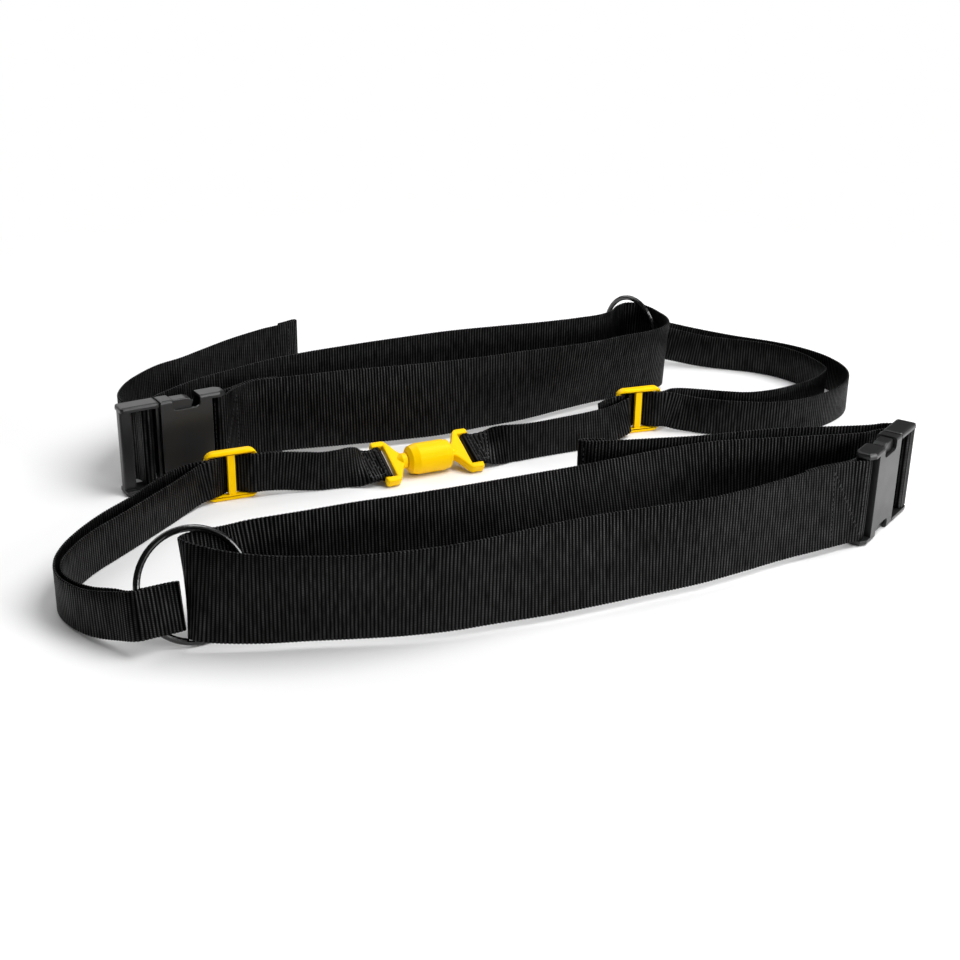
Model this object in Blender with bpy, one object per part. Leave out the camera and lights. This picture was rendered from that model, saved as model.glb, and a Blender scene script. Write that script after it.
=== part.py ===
"""Resistance training belt: two waist belts joined by a break-away tether.

Each waist belt is one wide webbing strip, folded into a long loop and closed by a side-release
buckle, with a round ring threaded over it at the fold. Narrow webbing tethers run from the rings,
through sliding adjusters, to a release connector in the middle.

The set lies on a floor at z = 0 with both belts standing on edge. X runs along the belts, the
front belt is the one at -Y, and the origin is under the middle of the whole set.
"""
import math

import bmesh
import bpy
import numpy as np
from mathutils import Matrix, Vector

MM = 0.001

# Clearances
TOUCH_GAP = 0.3 * MM
LAYER_GAP = 0.35 * MM
RUNNING_GAP = 0.3 * MM

# Waist belt webbing
BELT_WIDTH = 50.0 * MM
BELT_THICKNESS = 1.6 * MM
BELT_SEAM_LENGTH = 33.0 * MM
BELT_HEM_LENGTH = 14.0 * MM

# Tether webbing
TETHER_WIDTH = 25.0 * MM
TETHER_THICKNESS = 1.5 * MM
TETHER_SEAM_LENGTH = 17.0 * MM

# Side-release buckle, with its length along X from the sewn bar to the plug's outer bar
BUCKLE_EDGE = 3.5 * MM
BUCKLE_THICKNESS = 12.5 * MM
SOCKET_LENGTH = 42.5 * MM
SOCKET_FACE_START = 9.5 * MM
SOCKET_END_WALL = 2.5 * MM
SOCKET_FACE_WALL = 1.95 * MM
SOCKET_SIDE_WALL = 1.9 * MM
SOCKET_BAR_START = 1.5 * MM
SOCKET_BAR = 4.0 * MM
LUG_LENGTH = 17.0 * MM
LUG_TAPER = 4.0 * MM
WINDOW_LENGTH = 18.0 * MM
WINDOW_DEPTH = 7.0 * MM
PLUG_BASE_LENGTH = 24.5 * MM
PLUG_RIB = 2.0 * MM
PLUG_BAR = 3.0 * MM
PLUG_OUTER_BAR = 7.5 * MM
PLUG_BAR_FORWARD = 2.2 * MM
PLUG_SLOT = 4.2 * MM
GUIDE_LENGTH = 22.0 * MM
GUIDE_WIDTH = 9.0 * MM
PLUG_INNER_DEPTH = 7.2 * MM
LATCH_ROOT_RADIUS = 2.0 * MM
LATCH_ROOT_HEIGHT = 20.6 * MM
LATCH_THICKNESS = 5.5 * MM
LATCH_DEPTH = 7.8 * MM
LATCH_BUTTON_LENGTH = 13.2 * MM
LATCH_BUTTON_PROUD = 0.7 * MM
EDGE_ROUND = 1.6 * MM

# Round ring
RING_WIRE = 3.6 * MM
RING_CLEARANCE = 1.5 * MM

# Sliding adjuster
SLIDER_LENGTH = 33.0 * MM
SLIDER_RAIL = 3.1 * MM
SLIDER_THICKNESS = 5.6 * MM
SLIDER_BAR = 3.0 * MM
SLIDER_BAR_THICKNESS = 2.8 * MM
SLIDER_CENTRE_BAR = 4.6 * MM
SLIDER_CORNER = 6.0 * MM

# Release connector
BARREL_RADIUS = 10.0 * MM
BARREL_LENGTH = 29.0 * MM
BARREL_BORE_RADIUS = 5.6 * MM
BARREL_END_WALL = 3.2 * MM
BARREL_CONE = 6.5 * MM
BARREL_CONE_END = 5.9 * MM
BARREL_SHOULDER = 8.6 * MM
BARREL_COLLAR = 3.6 * MM
BARREL_COLLAR_STEP = 0.7 * MM
LEFT_STEM_RADIUS = 3.5 * MM
RIGHT_STEM_RADIUS = 4.0 * MM
LEFT_NECK_RADIUS = 5.0 * MM
STEM_GAP = 2.0 * MM
STEM_HEAD_LENGTH = 4.5 * MM
HOOK_NECK = 2.6 * MM
HOOK_PLATE = 9.0 * MM
HOOK_THICKNESS = 5.8 * MM
HOOK_LUG = 4.4 * MM
HOOK_BAR = 3.0 * MM
HOOK_SLOT = 3.4 * MM
HOOK_EDGE = 1.2 * MM

# Sizes that follow
BUCKLE_WIDTH = BELT_WIDTH + 2 * BUCKLE_EDGE
BUCKLE_MIDDLE = BUCKLE_WIDTH / 2
RING_INNER_RADIUS = BELT_WIDTH / 2 + RING_CLEARANCE
RING_RADIUS = RING_INNER_RADIUS + RING_WIRE / 2
SLIDER_HALF_HEIGHT = TETHER_WIDTH / 2 + RUNNING_GAP + SLIDER_RAIL
HOOK_BAR_PLACE = BARREL_LENGTH / 2 + HOOK_NECK + HOOK_PLATE + HOOK_SLOT + HOOK_BAR / 2

# Places in plan, in millimetres from the corner that the routes are drawn from
PLAN_CENTRE = Vector((70.0, 171.0)) * MM


def plan(x, y, z=0.0):
    """A point given in plan millimetres, moved so that the set is centred."""
    return Vector((x * MM - PLAN_CENTRE.x, y * MM - PLAN_CENTRE.y, z))


class Placing:
    """Where a rigid piece stands: its middle, its heading and how far its top leans back."""

    def __init__(self, x, y, z, heading, lean=0.0):
        self.middle = plan(x, y, z)
        turn = Matrix.Rotation(math.radians(heading), 4, "Z")
        roll = Matrix.Rotation(-math.radians(lean), 4, "X")
        self.matrix = Matrix.Translation(self.middle) @ turn @ roll

    def at(self, x, y, z=0.0):
        """A point of the piece's own frame, in the set's frame."""
        return self.matrix @ Vector((x, y, z))

    def direction(self, x, y, z):
        """A direction of the piece's own frame, in the set's frame."""
        return self.matrix.to_3x3() @ Vector((x, y, z))

    def station(self, x, y, height=0.0):
        """A strap's station in the piece's own frame, leaning as the piece does."""
        up = self.direction(0, 0, 1)
        return (*self.at(x, y, height), up.x / up.z, up.y / up.z)


# Each buckle's frame starts at the middle of its sewn bar end, with +X towards the plug.
# A buckle's outward side, away from its own loop, is -Y on the front belt and +Y on the rear one.
FRONT_BUCKLE = Placing(212.2, -8.0, BUCKLE_MIDDLE, 30.5)
REAR_BUCKLE = Placing(-89.8, 233.3, BUCKLE_MIDDLE, 187.4)
OUTWARD = {"front": -1, "rear": 1}
FRONT_RING_LEAN = 22.0
FRONT_RING_RISE = RING_RADIUS * math.cos(math.radians(FRONT_RING_LEAN)) + RING_WIRE / 2
FRONT_RING = Placing(-161.5, 35.5, FRONT_RING_RISE, 4.0, FRONT_RING_LEAN)
REAR_RING = Placing(244.3, 308.5, RING_RADIUS + RING_WIRE / 2, -80.0)
LEFT_SLIDER = Placing(-97.5, 193.5, SLIDER_HALF_HEIGHT, 0.0)
RIGHT_SLIDER = Placing(188.0, 198.7, SLIDER_HALF_HEIGHT, -5.0)
CONNECTOR = Placing(28.0, 187.4, BARREL_RADIUS, 1.2, 65.0)


def make_material(name, colour, roughness, metallic=0.0):
    """A plain surface with one colour, roughness and metallic value."""
    material = bpy.data.materials.new(name)
    material.use_nodes = True
    shader = material.node_tree.nodes["Principled BSDF"]
    shader.inputs["Base Color"].default_value = (*colour, 1.0)
    shader.inputs["Roughness"].default_value = roughness
    shader.inputs["Metallic"].default_value = metallic
    return material


def clear_scene():
    for obj in list(bpy.data.objects):
        bpy.data.objects.remove(obj, do_unlink=True)


def make_empty(name, placing=None, parent=None):
    """A parent for what moves together, on its joint's axis where it has one."""
    empty = bpy.data.objects.new(name, None)
    bpy.context.collection.objects.link(empty)
    if parent:
        empty.parent = parent
    if placing:
        base = parent.matrix_world if parent else Matrix.Identity(4)
        empty.matrix_basis = base.inverted() @ placing
    bpy.context.view_layer.update()
    return empty


def make_piece(name, bm, material, parent, place=None, smooth_angle=35):
    """A finished node from a mesh drawn in its own frame."""
    bmesh.ops.recalc_face_normals(bm, faces=bm.faces)
    mesh = bpy.data.meshes.new(name)
    bm.to_mesh(mesh)
    bm.free()
    mesh.materials.append(material)
    mesh.shade_smooth()
    mesh.set_sharp_from_angle(angle=math.radians(smooth_angle))
    obj = bpy.data.objects.new(name, mesh)
    bpy.context.collection.objects.link(obj)
    obj.parent = parent
    obj.matrix_basis = parent.matrix_world.inverted() @ (place or Matrix.Identity(4))
    bpy.context.view_layer.update()
    return obj


def block(low, high, round_by=0.0, segments=2):
    """A box between two corners, its edges rounded."""
    bm = bmesh.new()
    bmesh.ops.create_cube(bm, size=1.0)
    low, high = Vector(low), Vector(high)
    bmesh.ops.scale(bm, vec=high - low, verts=bm.verts)
    bmesh.ops.translate(bm, vec=(low + high) / 2, verts=bm.verts)
    if round_by > 0:
        bmesh.ops.bevel(bm, geom=bm.edges, offset=round_by, segments=segments,
                        affect="EDGES", profile=0.5, material=-1)
    return bm


def plate(outline, axis, low, high, round_by=0.0):
    """An outline in X and one other axis, extruded from low to high along the third."""
    bm = bmesh.new()
    corners = [(x, low, v) if axis == "Y" else (x, v, low) for x, v in outline]
    face = bm.faces.new([bm.verts.new(corner) for corner in corners])
    out = bmesh.ops.extrude_face_region(bm, geom=[face])
    raised = [item for item in out["geom"] if isinstance(item, bmesh.types.BMVert)]
    rise = (0, high - low, 0) if axis == "Y" else (0, 0, high - low)
    bmesh.ops.translate(bm, vec=rise, verts=raised)
    bmesh.ops.recalc_face_normals(bm, faces=bm.faces)
    if round_by > 0:
        rims = [e for e in bm.edges if abs(e.verts[0].co[1 if axis == "Y" else 2]
                                           - e.verts[1].co[1 if axis == "Y" else 2]) < 1e-7]
        bmesh.ops.bevel(bm, geom=rims, offset=round_by, segments=2, affect="EDGES",
                        profile=0.5, material=-1)
    return bm


def turned(profile, sides=32):
    """A profile of (along, radius) points turned about X, closed where it meets the axis."""
    bm = bmesh.new()
    verts = [bm.verts.new((along, 0, radius)) for along, radius in profile]
    edges = [bm.edges.new(pair) for pair in zip(verts, verts[1:])]
    bmesh.ops.spin(bm, geom=verts + edges, cent=(0, 0, 0), axis=(1, 0, 0), dvec=(0, 0, 0),
                   angle=2 * math.pi, steps=sides, use_merge=True)
    bmesh.ops.remove_doubles(bm, verts=bm.verts, dist=0.01 * MM)
    return bm


def tool_piece(name, bm, target):
    """A shape that only joins or cuts another, kept out of sight."""
    bmesh.ops.recalc_face_normals(bm, faces=bm.faces)
    mesh = bpy.data.meshes.new(name)
    bm.to_mesh(mesh)
    bm.free()
    obj = bpy.data.objects.new(name, mesh)
    bpy.context.collection.objects.link(obj)
    obj.parent = target.parent
    obj.matrix_basis = target.matrix_basis.copy()
    obj.hide_render = True
    obj.display_type = "WIRE"
    return obj


def combine(target, operation, shapes):
    """Join shapes to a piece with UNION, or take them away with DIFFERENCE."""
    for number, bm in enumerate(shapes):
        tool = tool_piece(f"{target.name}_{operation.lower()}_{number}", bm, target)
        modifier = target.modifiers.new(tool.name, "BOOLEAN")
        modifier.operation = operation
        modifier.solver = "EXACT"
        modifier.object = tool
    bpy.context.view_layer.update()


class Strap:
    """A flat webbing strip: a route of stations, each a point and the way its top edge leans."""

    def __init__(self, width, thickness):
        self.width = width
        self.thickness = thickness
        self.stations = []

    def run(self, route, base):
        """Stations from plan points: x, y, lean towards +Y, any rise in mm, any lean towards +X."""
        found = []
        for x, y, lean, *rest in route:
            rise, aside = (*rest, 0.0, 0.0)[:2]
            middle = base + self.width / 2 * math.cos(math.radians(lean)) + rise * MM
            tilt = (math.tan(math.radians(aside)), math.tan(math.radians(lean)))
            found.append((*plan(x, y, middle), *tilt))
        return found

    def follow(self, route, base):
        """Go along a run of plan points."""
        self.stations += self.run(route, base)

    def pass_by(self, placing, x, y, height=0.0):
        """One station beside a rigid piece."""
        self.stations.append(placing.station(x, y, height))

    def wrap(self, placing, centre, radius, angles, height=0.0, step=30):
        """Stations round a bar that stands across the strap, from one angle to another."""
        start, end = angles
        count = max(1, round(abs(end - start) / step))
        for number in range(count + 1):
            angle = math.radians(start + (end - start) * number / count)
            x = centre[0] + radius * math.cos(angle)
            y = centre[1] + radius * math.sin(angle)
            self.pass_by(placing, x, y, height)

    def sew_down(self, run, length, shift):
        """The sewn end: it lies beside the start of a run, and leads up to that start."""
        self.stations += reversed(beside(first_stretch(run, length), shift))

    def turn_back(self, side, reach):
        """Hem the end: a tight half turn to the left (1) or right (-1), then a short way back."""
        last, before = (np.array(self.stations[n], float) for n in (-1, -2))
        way = last[:3] - before[:3]
        way[2] = 0.0
        way /= np.linalg.norm(way)
        across = np.array([-way[1], way[0], 0.0]) * side
        radius = self.thickness / 2 + LAYER_GAP
        for degrees in (30, 60, 90, 120, 150, 180):
            angle = math.radians(degrees)
            shift = across * (1 - math.cos(angle)) + way * math.sin(angle)
            self.stations.append((*(last[:3] + shift * radius), *last[3:]))
        for share in (0.5, 1.0):
            spot = last[:3] + across * 2 * radius - way * reach * share
            self.stations.append((*spot, *last[3:]))

    def samples(self, most_turn=12.0, most_step=10 * MM, most_twist=0.05):
        """A smooth curve through the stations, closer together where it bends or twists."""
        points = np.array(self.stations, float)
        spans = np.linalg.norm(np.diff(points[:, :3], axis=0), axis=1)
        slopes = np.diff(points, axis=0) / spans[:, None]
        tangents = np.empty_like(points)
        tangents[0], tangents[-1] = slopes[0], slopes[-1]
        weight = (spans[:-1] / (spans[:-1] + spans[1:]))[:, None]
        tangents[1:-1] = slopes[:-1] * (1 - weight) + slopes[1:] * weight
        fine = []
        for at, span in enumerate(spans):
            for t in np.arange(0, 1, min(0.5, 0.4 * MM / span)):
                start = (1 + 2 * t) * (1 - t) ** 2 * points[at]
                start_pull = t * (1 - t) ** 2 * span * tangents[at]
                end = t * t * (3 - 2 * t) * points[at + 1]
                end_pull = t * t * (t - 1) * span * tangents[at + 1]
                fine.append(start + start_pull + end + end_pull)
        fine.append(points[-1])
        fine = np.array(fine)
        upright = np.sqrt(1 + fine[:, 3] ** 2 + fine[:, 4] ** 2)
        fine[:, 2] = np.maximum(fine[:, 2], self.width / 2 / upright + 0.05 * MM)
        ways = np.gradient(fine[:, :3], axis=0)
        ways /= np.linalg.norm(ways, axis=1)[:, None]
        kept = [0]
        for at in range(1, len(fine) - 1):
            turn = math.degrees(math.acos(min(1.0, float(ways[at] @ ways[kept[-1]]))))
            run = np.linalg.norm(fine[at, :3] - fine[kept[-1], :3])
            twist = np.linalg.norm(fine[at, 3:] - fine[kept[-1], 3:])
            if turn > most_turn or run > most_step or twist > most_twist:
                kept.append(at)
        if np.linalg.norm(fine[-1, :3] - fine[kept[-1], :3]) < self.thickness / 2:
            kept.pop()
        return fine[kept + [len(fine) - 1]]

    def corners(self, spot, way):
        """The four corners of the strip's section, square to its way."""
        up = np.array([spot[3], spot[4], 1.0])
        up -= way * (up @ way)
        up *= self.width / 2 / np.linalg.norm(up)
        out = np.cross(way, up)
        out *= self.thickness / 2 / np.linalg.norm(out)
        signs = ((1, 1), (1, -1), (-1, -1), (-1, 1))
        return [Vector(spot[:3] + a * up + b * out) for a, b in signs]

    def sweep(self):
        """The strip's solid: its end face, extruded along the route."""
        route = self.samples()
        units = np.diff(route[:, :3], axis=0)
        units /= np.linalg.norm(units, axis=1)[:, None]
        ways = np.vstack([units[:1], units[:-1] + units[1:], units[-1:]])
        ways /= np.linalg.norm(ways, axis=1)[:, None]
        bm = bmesh.new()
        spots = self.corners(route[0], ways[0])
        face = bm.faces.new([bm.verts.new(spot) for spot in spots])
        for at, (place, way) in enumerate(zip(route[1:], ways[1:])):
            out = bmesh.ops.extrude_face_region(bm, geom=[face])
            if at > 0:
                bmesh.ops.delete(bm, geom=[face], context="FACES_ONLY")
            face = next(item for item in out["geom"] if isinstance(item, bmesh.types.BMFace))
            following = self.corners(place, way)
            for vert in face.verts:
                nearest = min(range(4), key=lambda n: (vert.co - spots[n]).length)
                vert.co = following[nearest]
            spots = following
        return bm


def beside(stations, shift):
    """Stations moved square to the strap's face, to the right of their way where positive."""
    moved = []
    for at, spot in enumerate(stations):
        before, after = stations[max(at - 1, 0)], stations[min(at + 1, len(stations) - 1)]
        way = Vector(after[:3]) - Vector(before[:3])
        out = way.cross(Vector((spot[3], spot[4], 1.0))).normalized()
        moved.append((*(Vector(spot[:3]) + out * shift), *spot[3:]))
    return moved


def first_stretch(stations, length):
    """The start of a run, up to a length, with its last station on that length."""
    kept, run = [stations[0]], 0.0
    for here, there in zip(stations, stations[1:]):
        step = (Vector(there[:3]) - Vector(here[:3])).length
        if run + step >= length:
            share = (length - run) / step
            kept.append(tuple(a + (b - a) * share for a, b in zip(here, there)))
            return kept
        kept.append(there)
        run += step
    return kept


# Routes in plan millimetres: x, y, lean towards +Y in degrees, any rise in mm and any lean towards +X.
# The front belt's outward layer, from the sewn bar to the fold
FRONT_OUTER_RUN = [(205, -8.8, 3), (185, -10.0, 4), (157, -13.6, 1), (128, -17.9, 0),
                   (100, -20.6, 1), (69, -19.8, 4), (38, -18.9, 7), (9, -19.2, 5),
                   (-19, -19.5, -1), (-46, -18.7, -4), (-70, -14.9, -6), (-94, -8.8, -8),
                   (-113, -2.3, -7), (-132, 4.4, -4), (-146, 11.0, 0, 0.3, 1), (-157.0, 17.2, 5, 1.0, 2)]
FRONT_FOLD = [(-163.6, 22.5, 11, 1.8, 2), (-165.9, 27.5, 16, 2.1, 2), (-165.3, 33.2, 19, 1.8, 2),
              (-160.5, 38.0, 20, 1.2, 1)]
FRONT_INNER_RUN = [(-149, 40.8, 20, 0.4), (-138, 42.2, 19), (-127, 43.4, 14), (-116, 43.8, 8),
                   (-101, 44.3, 5), (-74, 44.7, 5), (-47, 43.0, 8), (-18, 42.0, 12),
                   (7, 42.3, 16), (39, 43.4, 20), (64, 43.9, 20), (90, 45.3, 18),
                   (117, 46.9, 17), (142, 46.8, 14), (165, 43.2, 8), (188, 37.6, 5),
                   (212, 32.0, 3), (228, 28.6, 1), (239, 27.0, 0)]
FRONT_TAIL = [(262, 34.6, 0), (252.5, 35.6, 0), (243, 37.8, 0), (233, 40.8, 0), (220, 45.0, 0),
              (197, 52.0, 0), (172, 56.0, 0), (146, 59.5, 0), (123, 65.0, 0), (100, 71.0, 0),
              (79, 79.0, 0)]

# The rear belt, in the same order
REAR_OUTER_RUN = [(-80, 241.0, 0), (-66, 249.0, 0), (-50, 248.7, 2), (-31, 246.8, 4),
                  (-5, 245.0, 9), (29, 240.8, 10), (57, 237.8, 8), (88, 238.0, 2),
                  (119, 239.6, 0), (155, 244.0, -8), (181, 248.0, -11), (201, 251.2, -10),
                  (222, 254.4, -11), (238, 258.0, -9)]
REAR_FOLD = [(247.5, 264.0, -6), (252.8, 274.0, -3), (254.4, 287.0, 0), (252.8, 300.0, 0, 0.7),
             (248.5, 309.0, 0, 1.3)]
REAR_INNER_RUN = [(241.5, 312.0, 0, 1.4), (233, 309.0, 0, 1), (224, 302.0, 0), (213, 297.0, 0),
                  (193, 295.0, 0), (169, 295.0, 0), (131, 298.0, 0), (93, 300.5, 0),
                  (55, 299.0, 0), (16, 296.0, 0), (-21, 291.5, 0), (-51, 284.0, 0),
                  (-73, 275.5, 0), (-94, 267.5, 0), (-107, 260.5, 0), (-119, 252.5, 0),
                  (-129.5, 244.5, 0)]
REAR_TAIL = [(-149.5, 243.0, 0), (-149.5, 255.0, 0), (-145.5, 266.0, 0), (-139.5, 276.5, 0),
             (-127.5, 290.5, 0), (-113, 303.0, 0), (-97, 311.0, 0), (-80, 322.5, 0),
             (-55, 339.0, 0), (-30, 352.0, 0), (0, 364.5, 0)]

# The left tether: from the connector to its slider, the inner layer on to the front ring,
# and the outer layer back to the slider, where its end hides behind the single run
LEFT_SINGLE_RUN = [(-17, 185.4, 42, 2.2), (-26, 184.8, 16, 0.3), (-34, 184.4, 6),
                   (-43, 185.0, 4), (-54, 187.0, 6, 1), (-66, 188.6, 3, 2.4)]
LEFT_INNER_RUN = [(-117, 188.0, 0, 2.4), (-127, 182.0, 0, 0.8), (-140, 171.0, 0), (-152, 160.5, 0),
                  (-165, 149.0, 0), (-178, 138.0, 0), (-191, 127.0, 0), (-202, 115.5, 0),
                  (-209.5, 105.0, 0), (-215, 95.0, 0), (-217.3, 83.0, 0),
                  (-214.6, 69.0, 3, 0.5), (-207.6, 54.0, 9, 2), (-198.6, 41.5, 16, 5)]
LEFT_OUTER_RUN = [(-200.0, 36.5, 17, 6), (-210, 51.0, 9, 2), (-217.5, 67.0, 3, 0.5),
                  (-220.5, 83.0, 0), (-218.5, 97.0, 0), (-212, 112.0, 0), (-200, 129.0, 0),
                  (-184, 146.0, 0), (-165, 162.0, 0), (-146, 180.0, 0, 0.4),
                  (-130, 190.5, 0, 1.5)]
LEFT_HIDDEN_END = [(-73, 190.9, 3, 2.7), (-66, 190.5, 3, 2.4)]
FRONT_RING_HEIGHT = -9.0 * MM
FRONT_TURN_LEAN = math.tan(math.radians(2.0))

# The right tether: to its slider, the outer layer on to the rear ring, and the inner one back
RIGHT_SINGLE_RUN = [(73, 185.6, 42, 2.2), (82, 183.4, 16, 0.3), (91, 182.0, 6),
                    (103, 182.0, 2), (121, 183.0, 4), (136, 184.0, 8), (150, 186.0, 8),
                    (161, 188.0, 8, 0.2), (171, 190.2, 7, 1.6), (178, 192.6, 4, 3.4)]
RIGHT_OUTER_RUN = [(216, 188.0, 8, 1.2), (227, 179.5, 8, 0.2), (240, 169.8, 3), (252, 163.0, 0),
                   (271, 154.8, 0), (292, 154.0, 0), (318, 160.0, 0), (343, 174.0, 0),
                   (358, 194.0, 0), (363, 221.0, 0), (357, 249.0, 0), (345, 270.0, 0),
                   (326, 291.0, 0, 0.5), (304, 310.0, 2, 3), (281, 326.0, 6, 7),
                   (258, 336.5, 11, 10.5)]
RIGHT_INNER_RUN = [(262, 323.5, 11, 9.5), (282, 311.5, 5, 5), (303, 298.0, 1, 1),
                   (322, 284.0, 0), (338, 268.0, 0), (348, 247.0, 0), (350, 223.0, 0),
                   (345, 201.0, 0), (328, 188.5, 0), (305, 180.5, 0), (282, 177.0, 0),
                   (264, 179.0, 0), (249, 186.5, 0, 0.3), (237, 193.5, 0, 0.8),
                   (225, 198.5, 0, 1.6), (215, 199.0, 0, 2.6)]
RIGHT_HIDDEN_END = [(163, 196.5, 4, 2.6), (156, 193.5, 6, 1.8)]
REAR_RING_HEIGHT = -6.5 * MM


def strap_reach(bar, thickness):
    """From a bar's middle to the middle of a strap wrapped round it."""
    return bar / 2 + LAYER_GAP + thickness / 2


def belt_strap(side, buckle, outer, fold, inner, tail):
    """One waist belt's webbing, from its sewn end round the socket's bar to its tail's hem.

    The rear belt is threaded over the plug's centre bar, and the front belt over its outer one.
    """
    outward = OUTWARD[side]
    strap = Strap(BELT_WIDTH, BELT_THICKNESS)
    layer = BELT_THICKNESS + 2 * LAYER_GAP
    strap.sew_down(strap.run(outer, BUCKLE_EDGE), BELT_SEAM_LENGTH, -outward * layer)
    centre = (SOCKET_BAR_START + SOCKET_BAR / 2, 0.0)
    reach = strap_reach(SOCKET_BAR, BELT_THICKNESS)
    strap.wrap(buckle, centre, reach, (-outward * 58, outward * 112))
    strap.follow(outer + fold + inner, BUCKLE_EDGE)
    back_face = -outward * (BUCKLE_THICKNESS / 2 + BELT_THICKNESS / 4)
    start = SOCKET_LENGTH + TOUCH_GAP
    if side == "rear":
        bar = (start + PLUG_RIB + PLUG_SLOT + PLUG_BAR / 2, outward * PLUG_BAR_FORWARD)
        reach = strap_reach(PLUG_BAR, BELT_THICKNESS)
        strap.pass_by(buckle, bar[0] - reach, back_face)
        strap.wrap(buckle, bar, reach, (outward * 180, 0))
        strap.pass_by(buckle, bar[0] + reach, back_face)
    else:
        reach = 2 * LAYER_GAP + BELT_THICKNESS / 2
        front_face, rear_face = (outward * way * (PLUG_BAR + reach) for way in (1, -1))
        end, near = start + PLUG_BASE_LENGTH, start + PLUG_BASE_LENGTH - PLUG_OUTER_BAR - reach
        strap.pass_by(buckle, near - BELT_THICKNESS, back_face)
        strap.pass_by(buckle, near, 0.0)
        strap.pass_by(buckle, near + reach / 2, front_face)
        strap.pass_by(buckle, end - PLUG_OUTER_BAR / 2, front_face + outward * LAYER_GAP)
        strap.pass_by(buckle, end, front_face)
        strap.pass_by(buckle, end + reach, front_face / 2)
        strap.pass_by(buckle, end + reach, rear_face / 2)
        strap.pass_by(buckle, end, back_face)
    strap.follow(tail, BUCKLE_EDGE)
    strap.turn_back(outward, BELT_HEM_LENGTH)
    return strap


def through_slider(strap, slider, layer, backwards=False, skip=(0, 0)):
    """Over the slider's end bars and behind its middle one. Layer 0 is on the -Y side.

    The strap hangs free of as many marks as skip says, where it comes and where it leaves.
    """
    step = TETHER_THICKNESS + LAYER_GAP
    near = strap_reach(SLIDER_BAR_THICKNESS, TETHER_THICKNESS)
    over, under = -near - (1 - layer) * step, near + layer * step
    inner, outer = SLIDER_LENGTH / 2 - SLIDER_BAR, SLIDER_LENGTH / 2
    middle = SLIDER_CENTRE_BAR / 2
    slope = math.atan2(2 * near + step, inner - middle)
    aside = (layer - 0.5) * step
    halfway = ((inner + middle) / 2 + aside * math.sin(slope), aside * math.cos(slope))
    half = [(outer, over), (inner, over), halfway, (middle, under)]
    marks = [(-x, y) for x, y in half] + half[::-1]
    marks = marks[::-1] if backwards else marks
    for x, y in marks[skip[0]:len(marks) - skip[1]]:
        strap.pass_by(slider, x, y)


def hook_loop(strap, side, single):
    """The sewn end, the turn round the hook's bar and the single run that starts there."""
    layer = TETHER_THICKNESS + 2 * LAYER_GAP
    straight = [CONNECTOR.station(side * (HOOK_BAR_PLACE + ahead), -layer / 2)
                for ahead in (3.5 * MM, 6.5 * MM)]
    run = straight + strap.run(single, 0.0)
    strap.sew_down(run, TETHER_SEAM_LENGTH, -side * layer)
    reach = strap_reach(HOOK_BAR, TETHER_THICKNESS)
    angles = (100, -100) if side < 0 else (80, 280)
    strap.wrap(CONNECTOR, (side * HOOK_BAR_PLACE, 0.0), reach, angles)
    strap.stations += run


def left_tether_strap():
    """The left tether's webbing, in one length."""
    strap = Strap(TETHER_WIDTH, TETHER_THICKNESS)
    hook_loop(strap, -1, LEFT_SINGLE_RUN)
    through_slider(strap, LEFT_SLIDER, 0, backwards=True, skip=(0, 1))
    strap.follow(LEFT_INNER_RUN, 0.0)
    apart = RING_WIRE / 2 + TETHER_THICKNESS / 2 + 2 * LAYER_GAP
    turn = (-0.38 * RING_RADIUS, 0.8 * MM)
    first = len(strap.stations)
    strap.pass_by(FRONT_RING, -RING_RADIUS - 3 * MM, apart, FRONT_RING_HEIGHT)
    strap.pass_by(FRONT_RING, -RING_RADIUS + 5 * MM, apart, FRONT_RING_HEIGHT)
    strap.wrap(FRONT_RING, turn, apart, (90, -90), FRONT_RING_HEIGHT)
    strap.pass_by(FRONT_RING, -RING_RADIUS + 5 * MM, -apart, FRONT_RING_HEIGHT)
    strap.pass_by(FRONT_RING, -RING_RADIUS - 3 * MM, -apart, FRONT_RING_HEIGHT)
    for at in range(first, len(strap.stations)):
        spot = strap.stations[at]
        strap.stations[at] = (*spot[:3], spot[3] + FRONT_TURN_LEAN, spot[4])
    strap.follow(LEFT_OUTER_RUN, 0.0)
    through_slider(strap, LEFT_SLIDER, 1)
    strap.follow(LEFT_HIDDEN_END, 0.0)
    return strap


def right_tether_strap():
    """The right tether's webbing, in one length."""
    strap = Strap(TETHER_WIDTH, TETHER_THICKNESS)
    hook_loop(strap, 1, RIGHT_SINGLE_RUN)
    through_slider(strap, RIGHT_SLIDER, 0, skip=(2, 0))
    strap.follow(RIGHT_OUTER_RUN, 0.0)
    chord = TETHER_WIDTH / 2
    low, high = (-math.sqrt(RING_RADIUS ** 2 - (REAR_RING_HEIGHT + step) ** 2)
                 for step in (-chord, chord))
    bulge = RING_RADIUS - math.sqrt(RING_RADIUS ** 2 - chord ** 2)
    apart = RING_WIRE / 2 + TETHER_THICKNESS / 2 + 3 * LAYER_GAP + bulge / 2
    centre = ((low + high) / 2 - bulge / 2 + LAYER_GAP / 2, 0.0)
    first = len(strap.stations)
    strap.pass_by(REAR_RING, centre[0] - apart, 7 * MM, REAR_RING_HEIGHT)
    strap.wrap(REAR_RING, centre, apart, (180, 360), REAR_RING_HEIGHT)
    strap.pass_by(REAR_RING, centre[0] + apart, 7 * MM, REAR_RING_HEIGHT)
    tilt = REAR_RING.direction(-1, 0, 0) * (low - high) / TETHER_WIDTH
    for at in range(first, len(strap.stations)):
        strap.stations[at] = (*strap.stations[at][:3], tilt.x, tilt.y)
    strap.follow(RIGHT_INNER_RUN, 0.0)
    through_slider(strap, RIGHT_SLIDER, 1, backwards=True)
    strap.follow(RIGHT_HIDDEN_END, 0.0)
    return strap


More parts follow.
